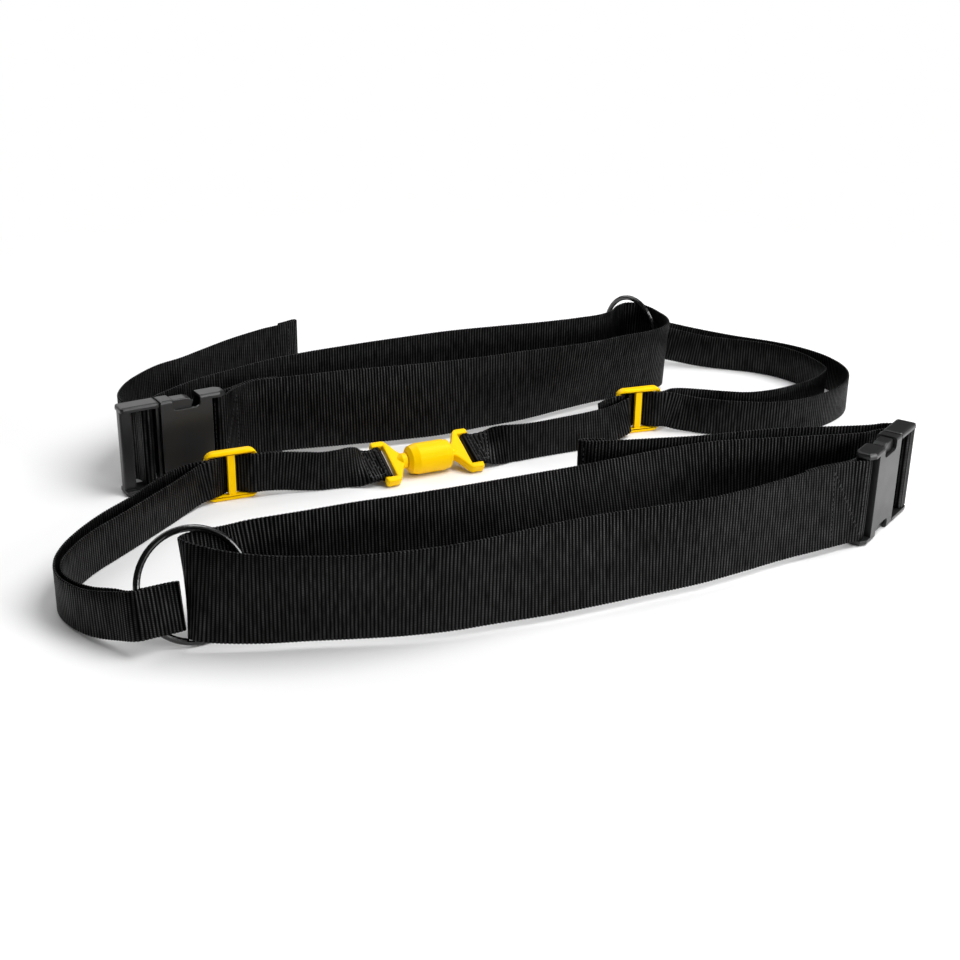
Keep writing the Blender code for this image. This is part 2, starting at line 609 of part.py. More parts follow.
def make_socket(side, buckle, parent, material):
    """The buckle's socket: end bar, webbing slot, hollow body and a window at each edge."""
    deep, half = BUCKLE_THICKNESS / 2, BUCKLE_WIDTH / 2
    inside = BELT_WIDTH / 2 + TOUCH_GAP
    tip = deep * 0.58
    outline = [(0, -tip), (LUG_TAPER, -deep), (SOCKET_LENGTH, -deep), (SOCKET_LENGTH, deep),
               (LUG_TAPER, deep), (0, tip)]
    body = plate(outline, "Z", -half, half, EDGE_ROUND)
    socket = make_piece(f"{side}_buckle_socket", body, material, parent, buckle.matrix)
    hollow_deep, hollow_half = deep - SOCKET_FACE_WALL, half - SOCKET_SIDE_WALL
    cuts = [block((-deep, -2 * deep, -inside), (SOCKET_FACE_START, 2 * deep, inside)),
            block((SOCKET_FACE_START + SOCKET_END_WALL, -hollow_deep, -hollow_half),
                  (SOCKET_LENGTH + deep, hollow_deep, hollow_half))]
    start, end = LUG_LENGTH, LUG_LENGTH + WINDOW_LENGTH
    low, corner = half - WINDOW_DEPTH, 2.4 * MM
    for way in (1, -1):
        window = [(start, half + deep), (start, low + corner), (start + corner * 0.3, low + corner * 0.3),
                  (start + corner, low), (end - corner, low),
                  (end - corner * 0.3, low + corner * 0.3), (end, low + corner), (end, half + deep)]
        cuts.append(plate([(x, way * z) for x, z in window], "Y", -2 * deep, 2 * deep))
    combine(socket, "DIFFERENCE", cuts)
    thick, into = 0.8 * SOCKET_BAR / 2, inside + TOUCH_GAP * 4
    bar = block((SOCKET_BAR_START, -thick, -into), (SOCKET_BAR_START + SOCKET_BAR, thick, into),
                1.2 * MM)
    combine(socket, "UNION", [bar])
    return socket


def make_plug(side, buckle, parent, material):
    """The buckle's plug: side plates, rib, centre bar, outer bar and guide prong."""
    outward = OUTWARD[side]
    deep, half = BUCKLE_THICKNESS / 2, BUCKLE_WIDTH / 2
    inside = BELT_WIDTH / 2 + TOUCH_GAP
    start = SOCKET_LENGTH + TOUCH_GAP
    end = start + PLUG_BASE_LENGTH
    body = block((start, -deep, -half), (end, deep, half), EDGE_ROUND)
    plug = make_piece(f"{side}_buckle_plug", body, material, parent, buckle.matrix)
    combine(plug, "DIFFERENCE", [block((start - deep, -2 * deep, -inside),
                                       (end + deep, 2 * deep, inside))])
    bar = start + PLUG_RIB + PLUG_SLOT
    bar_y = outward * PLUG_BAR_FORWARD
    into, prong = inside + TOUCH_GAP * 4, PLUG_INNER_DEPTH / 2
    bars = [block((start, -prong, -into), (start + PLUG_RIB, prong, into)),
            block((bar, bar_y - PLUG_BAR / 2, -into),
                  (bar + PLUG_BAR, bar_y + PLUG_BAR / 2, into), 1.2 * MM),
            block((end - PLUG_OUTER_BAR, -PLUG_BAR, -into), (end, PLUG_BAR, into), 1.0 * MM),
            block((start - GUIDE_LENGTH, -prong, -GUIDE_WIDTH / 2),
                  (start + PLUG_RIB / 2, prong, GUIDE_WIDTH / 2), 0.9 * MM)]
    combine(plug, "UNION", bars)
    return plug


def latch_pivot():
    """Where an arm bends, in its buckle's frame: along X and up from the middle."""
    return SOCKET_LENGTH - LATCH_ROOT_RADIUS, LATCH_ROOT_HEIGHT


def make_latch(side, edge, buckle, parent, material):
    """One latch arm: a root at the rib, a springy arm, and a button with a shoulder."""
    way = 1 if edge == "upper" else -1
    half = BUCKLE_WIDTH / 2
    pivot_x, pivot_z = latch_pivot()
    radius = LATCH_ROOT_RADIUS
    bridge = half - SOCKET_SIDE_WALL - RUNNING_GAP
    shoulder = LUG_LENGTH + WINDOW_LENGTH - RUNNING_GAP
    top, tip = half - LATCH_BUTTON_PROUD, shoulder - LATCH_BUTTON_LENGTH
    outline = [(pivot_x + radius * math.cos(math.radians(a)),
                pivot_z + radius * math.sin(math.radians(a))) for a in (-90, -45, 0, 45)]
    outline += [(pivot_x - 2.5 * MM, bridge), (shoulder, bridge), (shoulder, top - 0.6 * MM),
                (shoulder - 0.8 * MM, top), (tip + 4 * MM, top), (tip + 1 * MM, top - 1 * MM),
                (tip - 0.8 * MM, bridge - 1.5 * MM), (tip + 0.5 * MM, bridge - LATCH_THICKNESS),
                (shoulder, bridge - LATCH_THICKNESS)]
    outline = [(x - pivot_x, way * (z - pivot_z)) for x, z in outline]
    arm = plate(outline, "Y", -LATCH_DEPTH / 2, LATCH_DEPTH / 2, 0.6 * MM)
    place = buckle.matrix @ Matrix.Translation((pivot_x, 0, way * pivot_z))
    return make_piece(f"{side}_buckle_{edge}_latch", arm, material, parent, place)


def make_ring(side, placing, parent, material):
    """A welded round ring, bent from round wire."""
    bm = bmesh.new()
    bmesh.ops.create_circle(bm, segments=14, radius=RING_WIRE / 2)
    bmesh.ops.translate(bm, vec=(RING_RADIUS, 0, 0), verts=bm.verts)
    bmesh.ops.spin(bm, geom=bm.verts[:] + bm.edges[:], cent=(0, 0, 0), axis=(0, 1, 0),
                   dvec=(0, 0, 0), angle=2 * math.pi, steps=64, use_merge=True)
    return make_piece(f"{side}_ring", bm, material, parent, placing.matrix, 60)


def make_slider(side, placing, parent, material):
    """A sliding adjuster: a rounded frame with two slots, thicker along its edge rails."""
    end, deep, low = SLIDER_LENGTH / 2, SLIDER_THICKNESS / 2, TETHER_WIDTH / 2 + RUNNING_GAP
    high, corner, thin = low + SLIDER_RAIL, SLIDER_CORNER, SLIDER_BAR_THICKNESS / 2
    lowest = math.degrees(math.asin(1 - SLIDER_RAIL / corner))

    def arc(start, steps=5):
        angles = [math.radians(start + (90 - start) * n / steps) for n in range(steps + 1)]
        return [(end - corner * (1 - math.cos(a)), high - corner * (1 - math.sin(a))) for a in angles]

    quarter = arc(0.0)
    half = quarter + [(-x, z) for x, z in quarter[::-1]]
    frame = plate(half + [(-x, -z) for x, z in half], "Y", -thin, thin, 0.6 * MM)
    slider = make_piece(f"{side}_slider", frame, material, parent, placing.matrix)
    top = arc(lowest)
    top += [(-x, z) for x, z in top[::-1]]
    rails = [plate([(x, way * z) for x, z in top], "Y", -deep, deep, 1.0 * MM) for way in (1, -1)]
    combine(slider, "UNION", rails)
    middle = SLIDER_CENTRE_BAR / 2
    slots = [block((min(near, far), -2 * deep, -low), (max(near, far), 2 * deep, low))
             for near, far in ((middle, end - SLIDER_BAR), (-middle, SLIDER_BAR - end))]
    combine(slider, "DIFFERENCE", slots)
    return slider


def make_hook(side, parent, material):
    """A tether's end of the connector: a plate with a webbing bar, and a stem with a head."""
    way = -1 if side == "left" else 1
    start = BARREL_LENGTH / 2 + TOUCH_GAP
    neck = BARREL_LENGTH / 2 + HOOK_NECK
    slot = neck + HOOK_PLATE
    end = HOOK_BAR_PLACE + HOOK_BAR / 2 + 1 * MM
    low = TETHER_WIDTH / 2 + RUNNING_GAP + 0.1 * MM
    high, thin = low + HOOK_LUG, RIGHT_STEM_RADIUS
    half = [(start, thin), (neck, thin + 0.6 * MM), (neck + 2 * MM, thin + 3.2 * MM),
            (slot - 3 * MM, high - 2 * MM), (slot - 1.5 * MM, high - 0.4 * MM), (slot, high),
            (end - 1.2 * MM, high), (end, high - 1.2 * MM), (end, low), (slot, low)]
    outline = [(way * x, z) for x, z in half] + [(way * x, -z) for x, z in half[::-1]]
    depth = HOOK_THICKNESS / 2
    body = plate(outline, "Y", -depth, depth, HOOK_EDGE)
    hook = make_piece(f"{side}_release_hook", body, material, parent, CONNECTOR.matrix)
    head = BARREL_BORE_RADIUS - 2 * RUNNING_GAP
    left_reach = BARREL_LENGTH / 2 - BARREL_END_WALL - RUNNING_GAP - STEM_HEAD_LENGTH
    if side == "left":
        stem, reach, collar = LEFT_STEM_RADIUS, left_reach, LEFT_NECK_RADIUS
    else:
        stem, reach, collar = RIGHT_STEM_RADIUS, STEM_GAP - left_reach, RIGHT_STEM_RADIUS
    tip = reach + STEM_HEAD_LENGTH
    profile = [(reach, 0), (reach, head - 0.6 * MM), (reach + 0.6 * MM, head),
               (tip - 0.6 * MM, head), (tip, head - 0.6 * MM), (tip, stem), (start, stem),
               (start, collar), (neck + 1 * MM, collar), (neck + 4 * MM, depth), (neck + 4 * MM, 0)]
    bar = bmesh.new()
    bmesh.ops.create_cone(bar, cap_ends=True, segments=20, radius1=HOOK_BAR / 2,
                          radius2=HOOK_BAR / 2, depth=2 * low + HOOK_LUG)
    bmesh.ops.translate(bar, vec=(way * HOOK_BAR_PLACE, 0, 0), verts=bar.verts)
    combine(hook, "UNION", [turned([(way * x, r) for x, r in profile]), bar])
    return hook


def make_barrel(parent, material):
    """The connector's sleeve, turned about its axis, closed round the left hook's stem."""
    end = BARREL_LENGTH / 2
    collar, hole = BARREL_RADIUS - BARREL_COLLAR_STEP, LEFT_STEM_RADIUS + RUNNING_GAP
    wall = -end + BARREL_END_WALL
    profile = [(-end, hole), (-end, BARREL_CONE_END), (-end + 2 * MM, BARREL_SHOULDER),
               (-end + BARREL_CONE, BARREL_RADIUS),
               (end - BARREL_COLLAR, BARREL_RADIUS), (end - BARREL_COLLAR + 0.2 * MM, collar),
               (end - 0.6 * MM, collar), (end, collar - 0.6 * MM), (end, BARREL_BORE_RADIUS),
               (wall, BARREL_BORE_RADIUS), (wall, hole), (-end, hole)]
    return make_piece("release_barrel", turned(profile, 48), material, parent, CONNECTOR.matrix)


def ring_joint(placing, height):
    """Where a tether holds a ring: a point on the wire, with Z along the wire."""
    along = -math.sqrt(RING_RADIUS ** 2 - height ** 2)
    tilt = Matrix.Rotation(-math.atan2(-height, -along), 4, "Y")
    return placing.matrix @ Matrix.Translation((along, 0, height)) @ tilt


def make_belt(side, placings, routes, tether, materials):
    """One ring, and the waist belt and buckle that hang on it."""
    ring_place, buckle, height = placings
    webbing, plastic, steel = materials
    ring_body = make_empty(f"{side}_ring_swing", ring_joint(ring_place, height), tether)
    make_ring(side, ring_place, ring_body, steel)
    belt_body = make_empty(f"{side}_belt_swing", ring_place.matrix, ring_body)
    strap = belt_strap(side, buckle, *routes)
    make_piece(f"{side}_belt_webbing", strap.sweep(), webbing, belt_body)
    make_socket(side, buckle, belt_body, plastic)
    plug_body = make_empty(f"{side}_plug_travel", buckle.matrix, belt_body)
    make_plug(side, buckle, plug_body, plastic)
    pivot_x, pivot_z = latch_pivot()
    for edge, way in (("upper", 1), ("lower", -1)):
        spot = buckle.matrix @ Matrix.Translation((pivot_x, 0, way * pivot_z))
        arm_body = make_empty(f"{side}_{edge}_latch_pivot", spot, plug_body)
        make_latch(side, edge, buckle, arm_body, plastic)


def main():
    clear_scene()
    webbing = make_material("webbing", (0.012, 0.012, 0.013), 0.85)
    plastic = make_material("black_plastic", (0.02, 0.02, 0.021), 0.42)
    yellow = make_material("yellow_plastic", (0.9, 0.62, 0.0), 0.35)
    steel = make_material("black_steel", (0.015, 0.015, 0.016), 0.25, 1.0)

    left = make_empty("left_tether")
    make_piece("left_tether_webbing", left_tether_strap().sweep(), webbing, left)
    make_hook("left", left, yellow)
    barrel_body = make_empty("release_barrel_turn", CONNECTOR.matrix, left)
    make_barrel(barrel_body, yellow)
    make_slider("left", LEFT_SLIDER, make_empty("left_slider_travel", LEFT_SLIDER.matrix, left),
                yellow)
    make_belt("front", (FRONT_RING, FRONT_BUCKLE, FRONT_RING_HEIGHT),
              (FRONT_OUTER_RUN, FRONT_FOLD, FRONT_INNER_RUN, FRONT_TAIL), left,
              (webbing, plastic, steel))

    right = make_empty("right_tether_pull", CONNECTOR.matrix, left)
    make_piece("right_tether_webbing", right_tether_strap().sweep(), webbing, right)
    make_hook("right", right, yellow)
    make_slider("right", RIGHT_SLIDER,
                make_empty("right_slider_travel", RIGHT_SLIDER.matrix, right), yellow)
    make_belt("rear", (REAR_RING, REAR_BUCKLE, REAR_RING_HEIGHT),
              (REAR_OUTER_RUN, REAR_FOLD, REAR_INNER_RUN, REAR_TAIL), right,
              (webbing, plastic, steel))


if __name__ == "__main__":
    main()
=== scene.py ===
"""Looks of the resistance training belt: webbing, plastics, rings, stitches and a plain studio."""
import math

import bmesh
import bpy
import numpy as np
from mathutils import Matrix, Vector


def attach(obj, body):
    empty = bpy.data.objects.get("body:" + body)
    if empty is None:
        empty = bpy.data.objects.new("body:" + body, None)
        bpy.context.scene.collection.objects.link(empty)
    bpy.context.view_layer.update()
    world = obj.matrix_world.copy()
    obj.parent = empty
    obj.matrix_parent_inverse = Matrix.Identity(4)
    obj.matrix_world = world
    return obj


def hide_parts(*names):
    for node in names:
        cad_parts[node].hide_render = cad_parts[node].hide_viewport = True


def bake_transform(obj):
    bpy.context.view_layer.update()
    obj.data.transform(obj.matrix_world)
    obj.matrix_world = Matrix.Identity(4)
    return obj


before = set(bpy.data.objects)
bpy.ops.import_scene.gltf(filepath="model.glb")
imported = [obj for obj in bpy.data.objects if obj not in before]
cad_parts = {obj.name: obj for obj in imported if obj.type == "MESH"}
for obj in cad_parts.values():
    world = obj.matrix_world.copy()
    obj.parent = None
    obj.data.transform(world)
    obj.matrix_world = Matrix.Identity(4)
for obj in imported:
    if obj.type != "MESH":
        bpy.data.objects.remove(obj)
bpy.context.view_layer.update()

bl_info = {
    "name": "Training belt looks",
    "version": (1, 0, 0),
    "blender": (4, 5, 0),
    "location": "View3D > Sidebar > Belt",
    "description": "Dresses the training belt's parts and sets up its studio",
    "category": "Object",
}

# Sizes, places and routes are those of the part's own source

MM = 0.001

# Clearances
TOUCH_GAP = 0.3 * MM
LAYER_GAP = 0.35 * MM
RUNNING_GAP = 0.3 * MM

# Waist belt webbing
BELT_WIDTH = 50.0 * MM
BELT_THICKNESS = 1.6 * MM
BELT_SEAM_LENGTH = 33.0 * MM
BELT_HEM_LENGTH = 14.0 * MM

# Tether webbing
TETHER_WIDTH = 25.0 * MM
TETHER_THICKNESS = 1.5 * MM
TETHER_SEAM_LENGTH = 17.0 * MM

# Side-release buckle, with its length along X from the sewn bar to the plug's outer bar
BUCKLE_EDGE = 3.5 * MM
BUCKLE_THICKNESS = 12.5 * MM
SOCKET_LENGTH = 42.5 * MM
SOCKET_BAR_START = 1.5 * MM
SOCKET_BAR = 4.0 * MM
PLUG_BASE_LENGTH = 24.5 * MM
PLUG_RIB = 2.0 * MM
PLUG_BAR = 3.0 * MM
PLUG_OUTER_BAR = 7.5 * MM
PLUG_BAR_FORWARD = 2.2 * MM
PLUG_SLOT = 4.2 * MM

# Round ring
RING_WIRE = 3.6 * MM
RING_CLEARANCE = 1.5 * MM

# Sliding adjuster
SLIDER_LENGTH = 33.0 * MM
SLIDER_RAIL = 3.1 * MM
SLIDER_BAR = 3.0 * MM
SLIDER_BAR_THICKNESS = 2.8 * MM
SLIDER_CENTRE_BAR = 4.6 * MM

# Release connector
BARREL_RADIUS = 10.0 * MM
BARREL_LENGTH = 29.0 * MM
HOOK_NECK = 2.6 * MM
HOOK_PLATE = 9.0 * MM
HOOK_BAR = 3.0 * MM
HOOK_SLOT = 3.4 * MM

# Sizes that follow
BUCKLE_WIDTH = BELT_WIDTH + 2 * BUCKLE_EDGE
BUCKLE_MIDDLE = BUCKLE_WIDTH / 2
RING_INNER_RADIUS = BELT_WIDTH / 2 + RING_CLEARANCE
RING_RADIUS = RING_INNER_RADIUS + RING_WIRE / 2
SLIDER_HALF_HEIGHT = TETHER_WIDTH / 2 + RUNNING_GAP + SLIDER_RAIL
HOOK_BAR_PLACE = BARREL_LENGTH / 2 + HOOK_NECK + HOOK_PLATE + HOOK_SLOT + HOOK_BAR / 2

# How a strap is drawn: in fine steps, just clear of the floor, with its turns eased
FINE_STEP = 0.2 * MM
FLOOR_CLEARANCE = 0.05 * MM
WAY_SMOOTHING = 0.6 * MM

# Turns round bars and rings, in degrees, and the straight parts beside them
SOCKET_TURN = (58, 112)
HOOK_STRAIGHT = (3.5 * MM, 6.5 * MM)
FRONT_TURN = (-0.38 * RING_RADIUS, 0.8 * MM)
FRONT_TURN_REACH = (-RING_RADIUS - 3 * MM, -RING_RADIUS + 5 * MM)
REAR_TURN_SPREAD = 7 * MM

# A webbing's rounded edges, as shares of its thickness, and where its edges' teeth start
EDGE_ROUNDING = 0.36
EDGE_FULLNESS = 0.62
EDGE_START = 0.9
# A rib is fuller than a sine wave where this power is under 1
RIB_FULLNESS = 0.8
# Marks along a strap that are this close are the same
ROUNDING = 1e-9

# Stitches: how far they stay from the edges, and where their rows lie along the webbing
BELT_STITCH_INSET = 4.0 * MM
BELT_STITCH_START = 23.0 * MM
BELT_STITCH_LENGTH = 21.0 * MM
HEM_TURN = 2.0 * MM
HEM_ROWS = (10.0 * MM, 3.0 * MM)
TETHER_STITCH_INSET = 2.5 * MM
TETHER_STITCH_START = 13.0 * MM
TETHER_STITCH_LENGTH = 11.0 * MM
THREAD_FLATNESS = 5 / 6

# Patterns, as how many of their features there are in a millimetre. Filaments of 0.03 mm, thread
# twist and the mould's grain are too fine to show, so they are drawn 0.3 to 0.4 mm wide.
FIBRE_GRAIN = 2.6 / MM
THREAD_TWIST = 3.0 / MM
MOULD_GRAIN = 3.5 / MM
RIB_STREAK = 0.42 / MM
STREAK_STRETCH = 0.22
YARN_DRIFT = 0.12 / MM
CREST_LIGHT_CLOUD = 0.022 / MM
MOULD_CLOUD = 0.09 / MM
ENAMEL_WAVE = 0.22 / MM

# Studio, in metres: the floor, and each light's size and place
FLOOR_SIZE = 12.0
FLOOR_DROP = 0.1 * MM
KEY_SOFTBOX = (1.2, (0.7, -0.35, 1.4))
REAR_SOFTBOX = (1.6, (-0.2, 1.3, 1.2))
FRONT_STRIP = (0.5, (0.62, -1.15, 0.45))
NEAREST_SEEN = 0.01
# The sensor's width is in millimetres, and so is the camera's place in plan
SENSOR_WIDTH = 36.0
CAMERA_AT = (-313.9, -626.0)

# Places in plan, in millimetres from the corner that the routes are drawn from
PLAN_CENTRE = Vector((70.0, 171.0)) * MM


def plan(x, y, z=0.0):
    """A point given in plan millimetres, moved so that the set is centred."""
    return Vector((x * MM - PLAN_CENTRE.x, y * MM - PLAN_CENTRE.y, z))


class Placing:
    """Where a rigid piece stands: its middle, its heading and how far its top leans back."""

    def __init__(self, x, y, z, heading, lean=0.0):
        turn = Matrix.Rotation(math.radians(heading), 4, "Z")
        roll = Matrix.Rotation(-math.radians(lean), 4, "X")
        self.matrix = Matrix.Translation(plan(x, y, z)) @ turn @ roll

    def at(self, x, y, z=0.0):
        """A point of the piece's own frame, in the set's frame."""
        return self.matrix @ Vector((x, y, z))

    def direction(self, x, y, z):
        """A direction of the piece's own frame, in the set's frame."""
        return self.matrix.to_3x3() @ Vector((x, y, z))

    def station(self, x, y, height=0.0):
        """A strap's station in the piece's own frame, leaning as the piece does."""
        up = self.direction(0, 0, 1)
        return (*self.at(x, y, height), up.x / up.z, up.y / up.z)


# Each buckle's frame starts at the middle of its sewn bar end, with +X towards the plug.
# Its outward side, away from its own loop, is -Y on the front belt and +Y on the rear one.
FRONT_BUCKLE = Placing(212.2, -8.0, BUCKLE_MIDDLE, 30.5)
REAR_BUCKLE = Placing(-89.8, 233.3, BUCKLE_MIDDLE, 187.4)
OUTWARD = {"front": -1, "rear": 1}
FRONT_RING_LEAN = 22.0
FRONT_RING_RISE = RING_RADIUS * math.cos(math.radians(FRONT_RING_LEAN)) + RING_WIRE / 2
FRONT_RING = Placing(-161.5, 35.5, FRONT_RING_RISE, 4.0, FRONT_RING_LEAN)
REAR_RING = Placing(244.3, 308.5, RING_RADIUS + RING_WIRE / 2, -80.0)
LEFT_SLIDER_AT = (-97.5, 193.5)
RIGHT_SLIDER_AT = (188.0, 198.7)
LEFT_SLIDER = Placing(*LEFT_SLIDER_AT, SLIDER_HALF_HEIGHT, 0.0)
RIGHT_SLIDER = Placing(*RIGHT_SLIDER_AT, SLIDER_HALF_HEIGHT, -5.0)
CONNECTOR = Placing(28.0, 187.4, BARREL_RADIUS, 1.2, 65.0)


class Strap:
    """A flat webbing strip: a route of stations, each a point and the way its top edge leans."""

    def __init__(self, width, thickness):
        self.width = width
        self.thickness = thickness
        self.stations = []

    def run(self, route, base):
        """Stations from plan points: x, y, lean towards +Y, any rise, any lean towards +X."""
        found = []
        for x, y, lean, *rest in route:
            rise, aside = (*rest, 0.0, 0.0)[:2]
            middle = base + self.width / 2 * math.cos(math.radians(lean)) + rise * MM
            tilt = (math.tan(math.radians(aside)), math.tan(math.radians(lean)))
            found.append((*plan(x, y, middle), *tilt))
        return found

    def follow(self, route, base):
        """Go along a run of plan points."""
        self.stations += self.run(route, base)

    def pass_by(self, placing, x, y, height=0.0):
        """One station beside a rigid piece."""
        self.stations.append(placing.station(x, y, height))

    def wrap(self, placing, centre, radius, angles, height=0.0, step=30):
        """Stations round a bar that stands across the strap, from one angle to another."""
        start, end = angles
        count = max(1, round(abs(end - start) / step))
        for number in range(count + 1):
            angle = math.radians(start + (end - start) * number / count)
            x = centre[0] + radius * math.cos(angle)
            y = centre[1] + radius * math.sin(angle)
            self.pass_by(placing, x, y, height)

    def sew_down(self, run, length, shift):
        """The sewn end: it lies beside the start of a run, and leads up to that start."""
        self.stations += reversed(beside(first_stretch(run, length), shift))

    def turn_back(self, side, reach):
        """Hem the end: a tight half turn to the left (1) or right (-1), then a short way back."""
        last, before = (np.array(self.stations[n], float) for n in (-1, -2))
        way = last[:3] - before[:3]
        way[2] = 0.0
        way /= np.linalg.norm(way)
        across = np.array([-way[1], way[0], 0.0]) * side
        radius = self.thickness / 2 + LAYER_GAP
        for degrees in (30, 60, 90, 120, 150, 180):
            angle = math.radians(degrees)
            shift = across * (1 - math.cos(angle)) + way * math.sin(angle)
            self.stations.append((*(last[:3] + shift * radius), *last[3:]))
        for share in (0.5, 1.0):
            spot = last[:3] + across * 2 * radius - way * reach * share
            self.stations.append((*spot, *last[3:]))

    def curve(self, step):
        """Evenly spaced points along the strap: places, ways, up and out directions."""
        points = np.array(self.stations, float)
        spans = np.linalg.norm(np.diff(points[:, :3], axis=0), axis=1)
        slopes = np.diff(points, axis=0) / spans[:, None]
        tangents = np.empty_like(points)
        tangents[0], tangents[-1] = slopes[0], slopes[-1]
        weight = (spans[:-1] / (spans[:-1] + spans[1:]))[:, None]
        tangents[1:-1] = slopes[:-1] * (1 - weight) + slopes[1:] * weight
        fine = []
        for at, span in enumerate(spans):
            for t in np.arange(0, 1, min(0.5, FINE_STEP / span)):
                start = (1 + 2 * t) * (1 - t) ** 2 * points[at]
                start_pull = t * (1 - t) ** 2 * span * tangents[at]
                end = t * t * (3 - 2 * t) * points[at + 1]
                end_pull = t * t * (t - 1) * span * tangents[at + 1]
                fine.append(start + start_pull + end + end_pull)
        fine.append(points[-1])
        fine = np.array(fine)
        upright = np.sqrt(1 + fine[:, 3] ** 2 + fine[:, 4] ** 2)
        fine[:, 2] = np.maximum(fine[:, 2], self.width / 2 / upright + FLOOR_CLEARANCE)
        steps = np.linalg.norm(np.diff(fine[:, :3], axis=0), axis=1)
        run = np.concatenate([[0], np.cumsum(steps)])
        marks = np.arange(0, run[-1], step)
        even = np.stack([np.interp(marks, run, fine[:, n]) for n in range(5)], axis=1)
        ways = np.gradient(even[:, :3], axis=0)
        reach = max(1, round(WAY_SMOOTHING / step))
        kernel = np.ones(2 * reach + 1) / (2 * reach + 1)
        padded = np.pad(ways, ((reach, reach), (0, 0)), mode="edge")
        ways = np.stack([np.convolve(padded[:, n], kernel, "valid") for n in range(3)], axis=1)
        ways /= np.linalg.norm(ways, axis=1)[:, None]
        ups = np.concatenate([even[:, 3:], np.ones((len(even), 1))], axis=1)
        ups -= ways * np.sum(ups * ways, axis=1)[:, None]
        ups /= np.linalg.norm(ups, axis=1)[:, None]
        return marks, even[:, :3], ups, np.cross(ways, ups)


def beside(stations, shift):
    """Stations moved square to the strap's face, to the right of their way where positive."""
    moved = []
    for at, spot in enumerate(stations):
        before, after = stations[max(at - 1, 0)], stations[min(at + 1, len(stations) - 1)]
        way = Vector(after[:3]) - Vector(before[:3])
        out = way.cross(Vector((spot[3], spot[4], 1.0))).normalized()
        moved.append((*(Vector(spot[:3]) + out * shift), *spot[3:]))
    return moved


def first_stretch(stations, length):
    """The start of a run, up to a length, with its last station on that length."""
    kept, run = [stations[0]], 0.0
    for here, there in zip(stations, stations[1:]):
        step = (Vector(there[:3]) - Vector(here[:3])).length
        if run + step >= length:
            share = (length - run) / step
            kept.append(tuple(a + (b - a) * share for a, b in zip(here, there)))
            return kept
        kept.append(there)
        run += step
    return kept


# Routes in plan millimetres: x, y, lean towards +Y in degrees, any rise, any lean towards +X.
# The front belt's outward layer, from the sewn bar to the fold
FRONT_OUTER_RUN = [
    (205, -8.8, 3), (185, -10.0, 4), (157, -13.6, 1), (128, -17.9, 0), (100, -20.6, 1),
    (69, -19.8, 4), (38, -18.9, 7), (9, -19.2, 5), (-19, -19.5, -1), (-46, -18.7, -4),
    (-70, -14.9, -6), (-94, -8.8, -8), (-113, -2.3, -7), (-132, 4.4, -4), (-146, 11.0, 0, 0.3, 1),
    (-157.0, 17.2, 5, 1.0, 2)]
FRONT_FOLD = [
    (-163.6, 22.5, 11, 1.8, 2), (-165.9, 27.5, 16, 2.1, 2), (-165.3, 33.2, 19, 1.8, 2),
    (-160.5, 38.0, 20, 1.2, 1)]
FRONT_INNER_RUN = [
    (-149, 40.8, 20, 0.4), (-138, 42.2, 19), (-127, 43.4, 14), (-116, 43.8, 8), (-101, 44.3, 5),
    (-74, 44.7, 5), (-47, 43.0, 8), (-18, 42.0, 12), (7, 42.3, 16), (39, 43.4, 20),
    (64, 43.9, 20), (90, 45.3, 18), (117, 46.9, 17), (142, 46.8, 14), (165, 43.2, 8),
    (188, 37.6, 5), (212, 32.0, 3), (228, 28.6, 1), (239, 27.0, 0)]
FRONT_TAIL = [
    (262, 34.6, 0), (252.5, 35.6, 0), (243, 37.8, 0), (233, 40.8, 0), (220, 45.0, 0),
    (197, 52.0, 0), (172, 56.0, 0), (146, 59.5, 0), (123, 65.0, 0), (100, 71.0, 0), (79, 79.0, 0)]

# The rear belt, in the same order
REAR_OUTER_RUN = [
    (-80, 241.0, 0), (-66, 249.0, 0), (-50, 248.7, 2), (-31, 246.8, 4), (-5, 245.0, 9),
    (29, 240.8, 10), (57, 237.8, 8), (88, 238.0, 2), (119, 239.6, 0), (155, 244.0, -8),
    (181, 248.0, -11), (201, 251.2, -10), (222, 254.4, -11), (238, 258.0, -9)]
REAR_FOLD = [
    (247.5, 264.0, -6), (252.8, 274.0, -3), (254.4, 287.0, 0), (252.8, 300.0, 0, 0.7),
    (248.5, 309.0, 0, 1.3)]
REAR_INNER_RUN = [
    (241.5, 312.0, 0, 1.4), (233, 309.0, 0, 1), (224, 302.0, 0), (213, 297.0, 0), (193, 295.0, 0),
    (169, 295.0, 0), (131, 298.0, 0), (93, 300.5, 0), (55, 299.0, 0), (16, 296.0, 0),
    (-21, 291.5, 0), (-51, 284.0, 0), (-73, 275.5, 0), (-94, 267.5, 0), (-107, 260.5, 0),
    (-119, 252.5, 0), (-129.5, 244.5, 0)]
REAR_TAIL = [
    (-149.5, 243.0, 0), (-149.5, 255.0, 0), (-145.5, 266.0, 0), (-139.5, 276.5, 0),
    (-127.5, 290.5, 0), (-113, 303.0, 0), (-97, 311.0, 0), (-80, 322.5, 0), (-55, 339.0, 0),
    (-30, 352.0, 0), (0, 364.5, 0)]

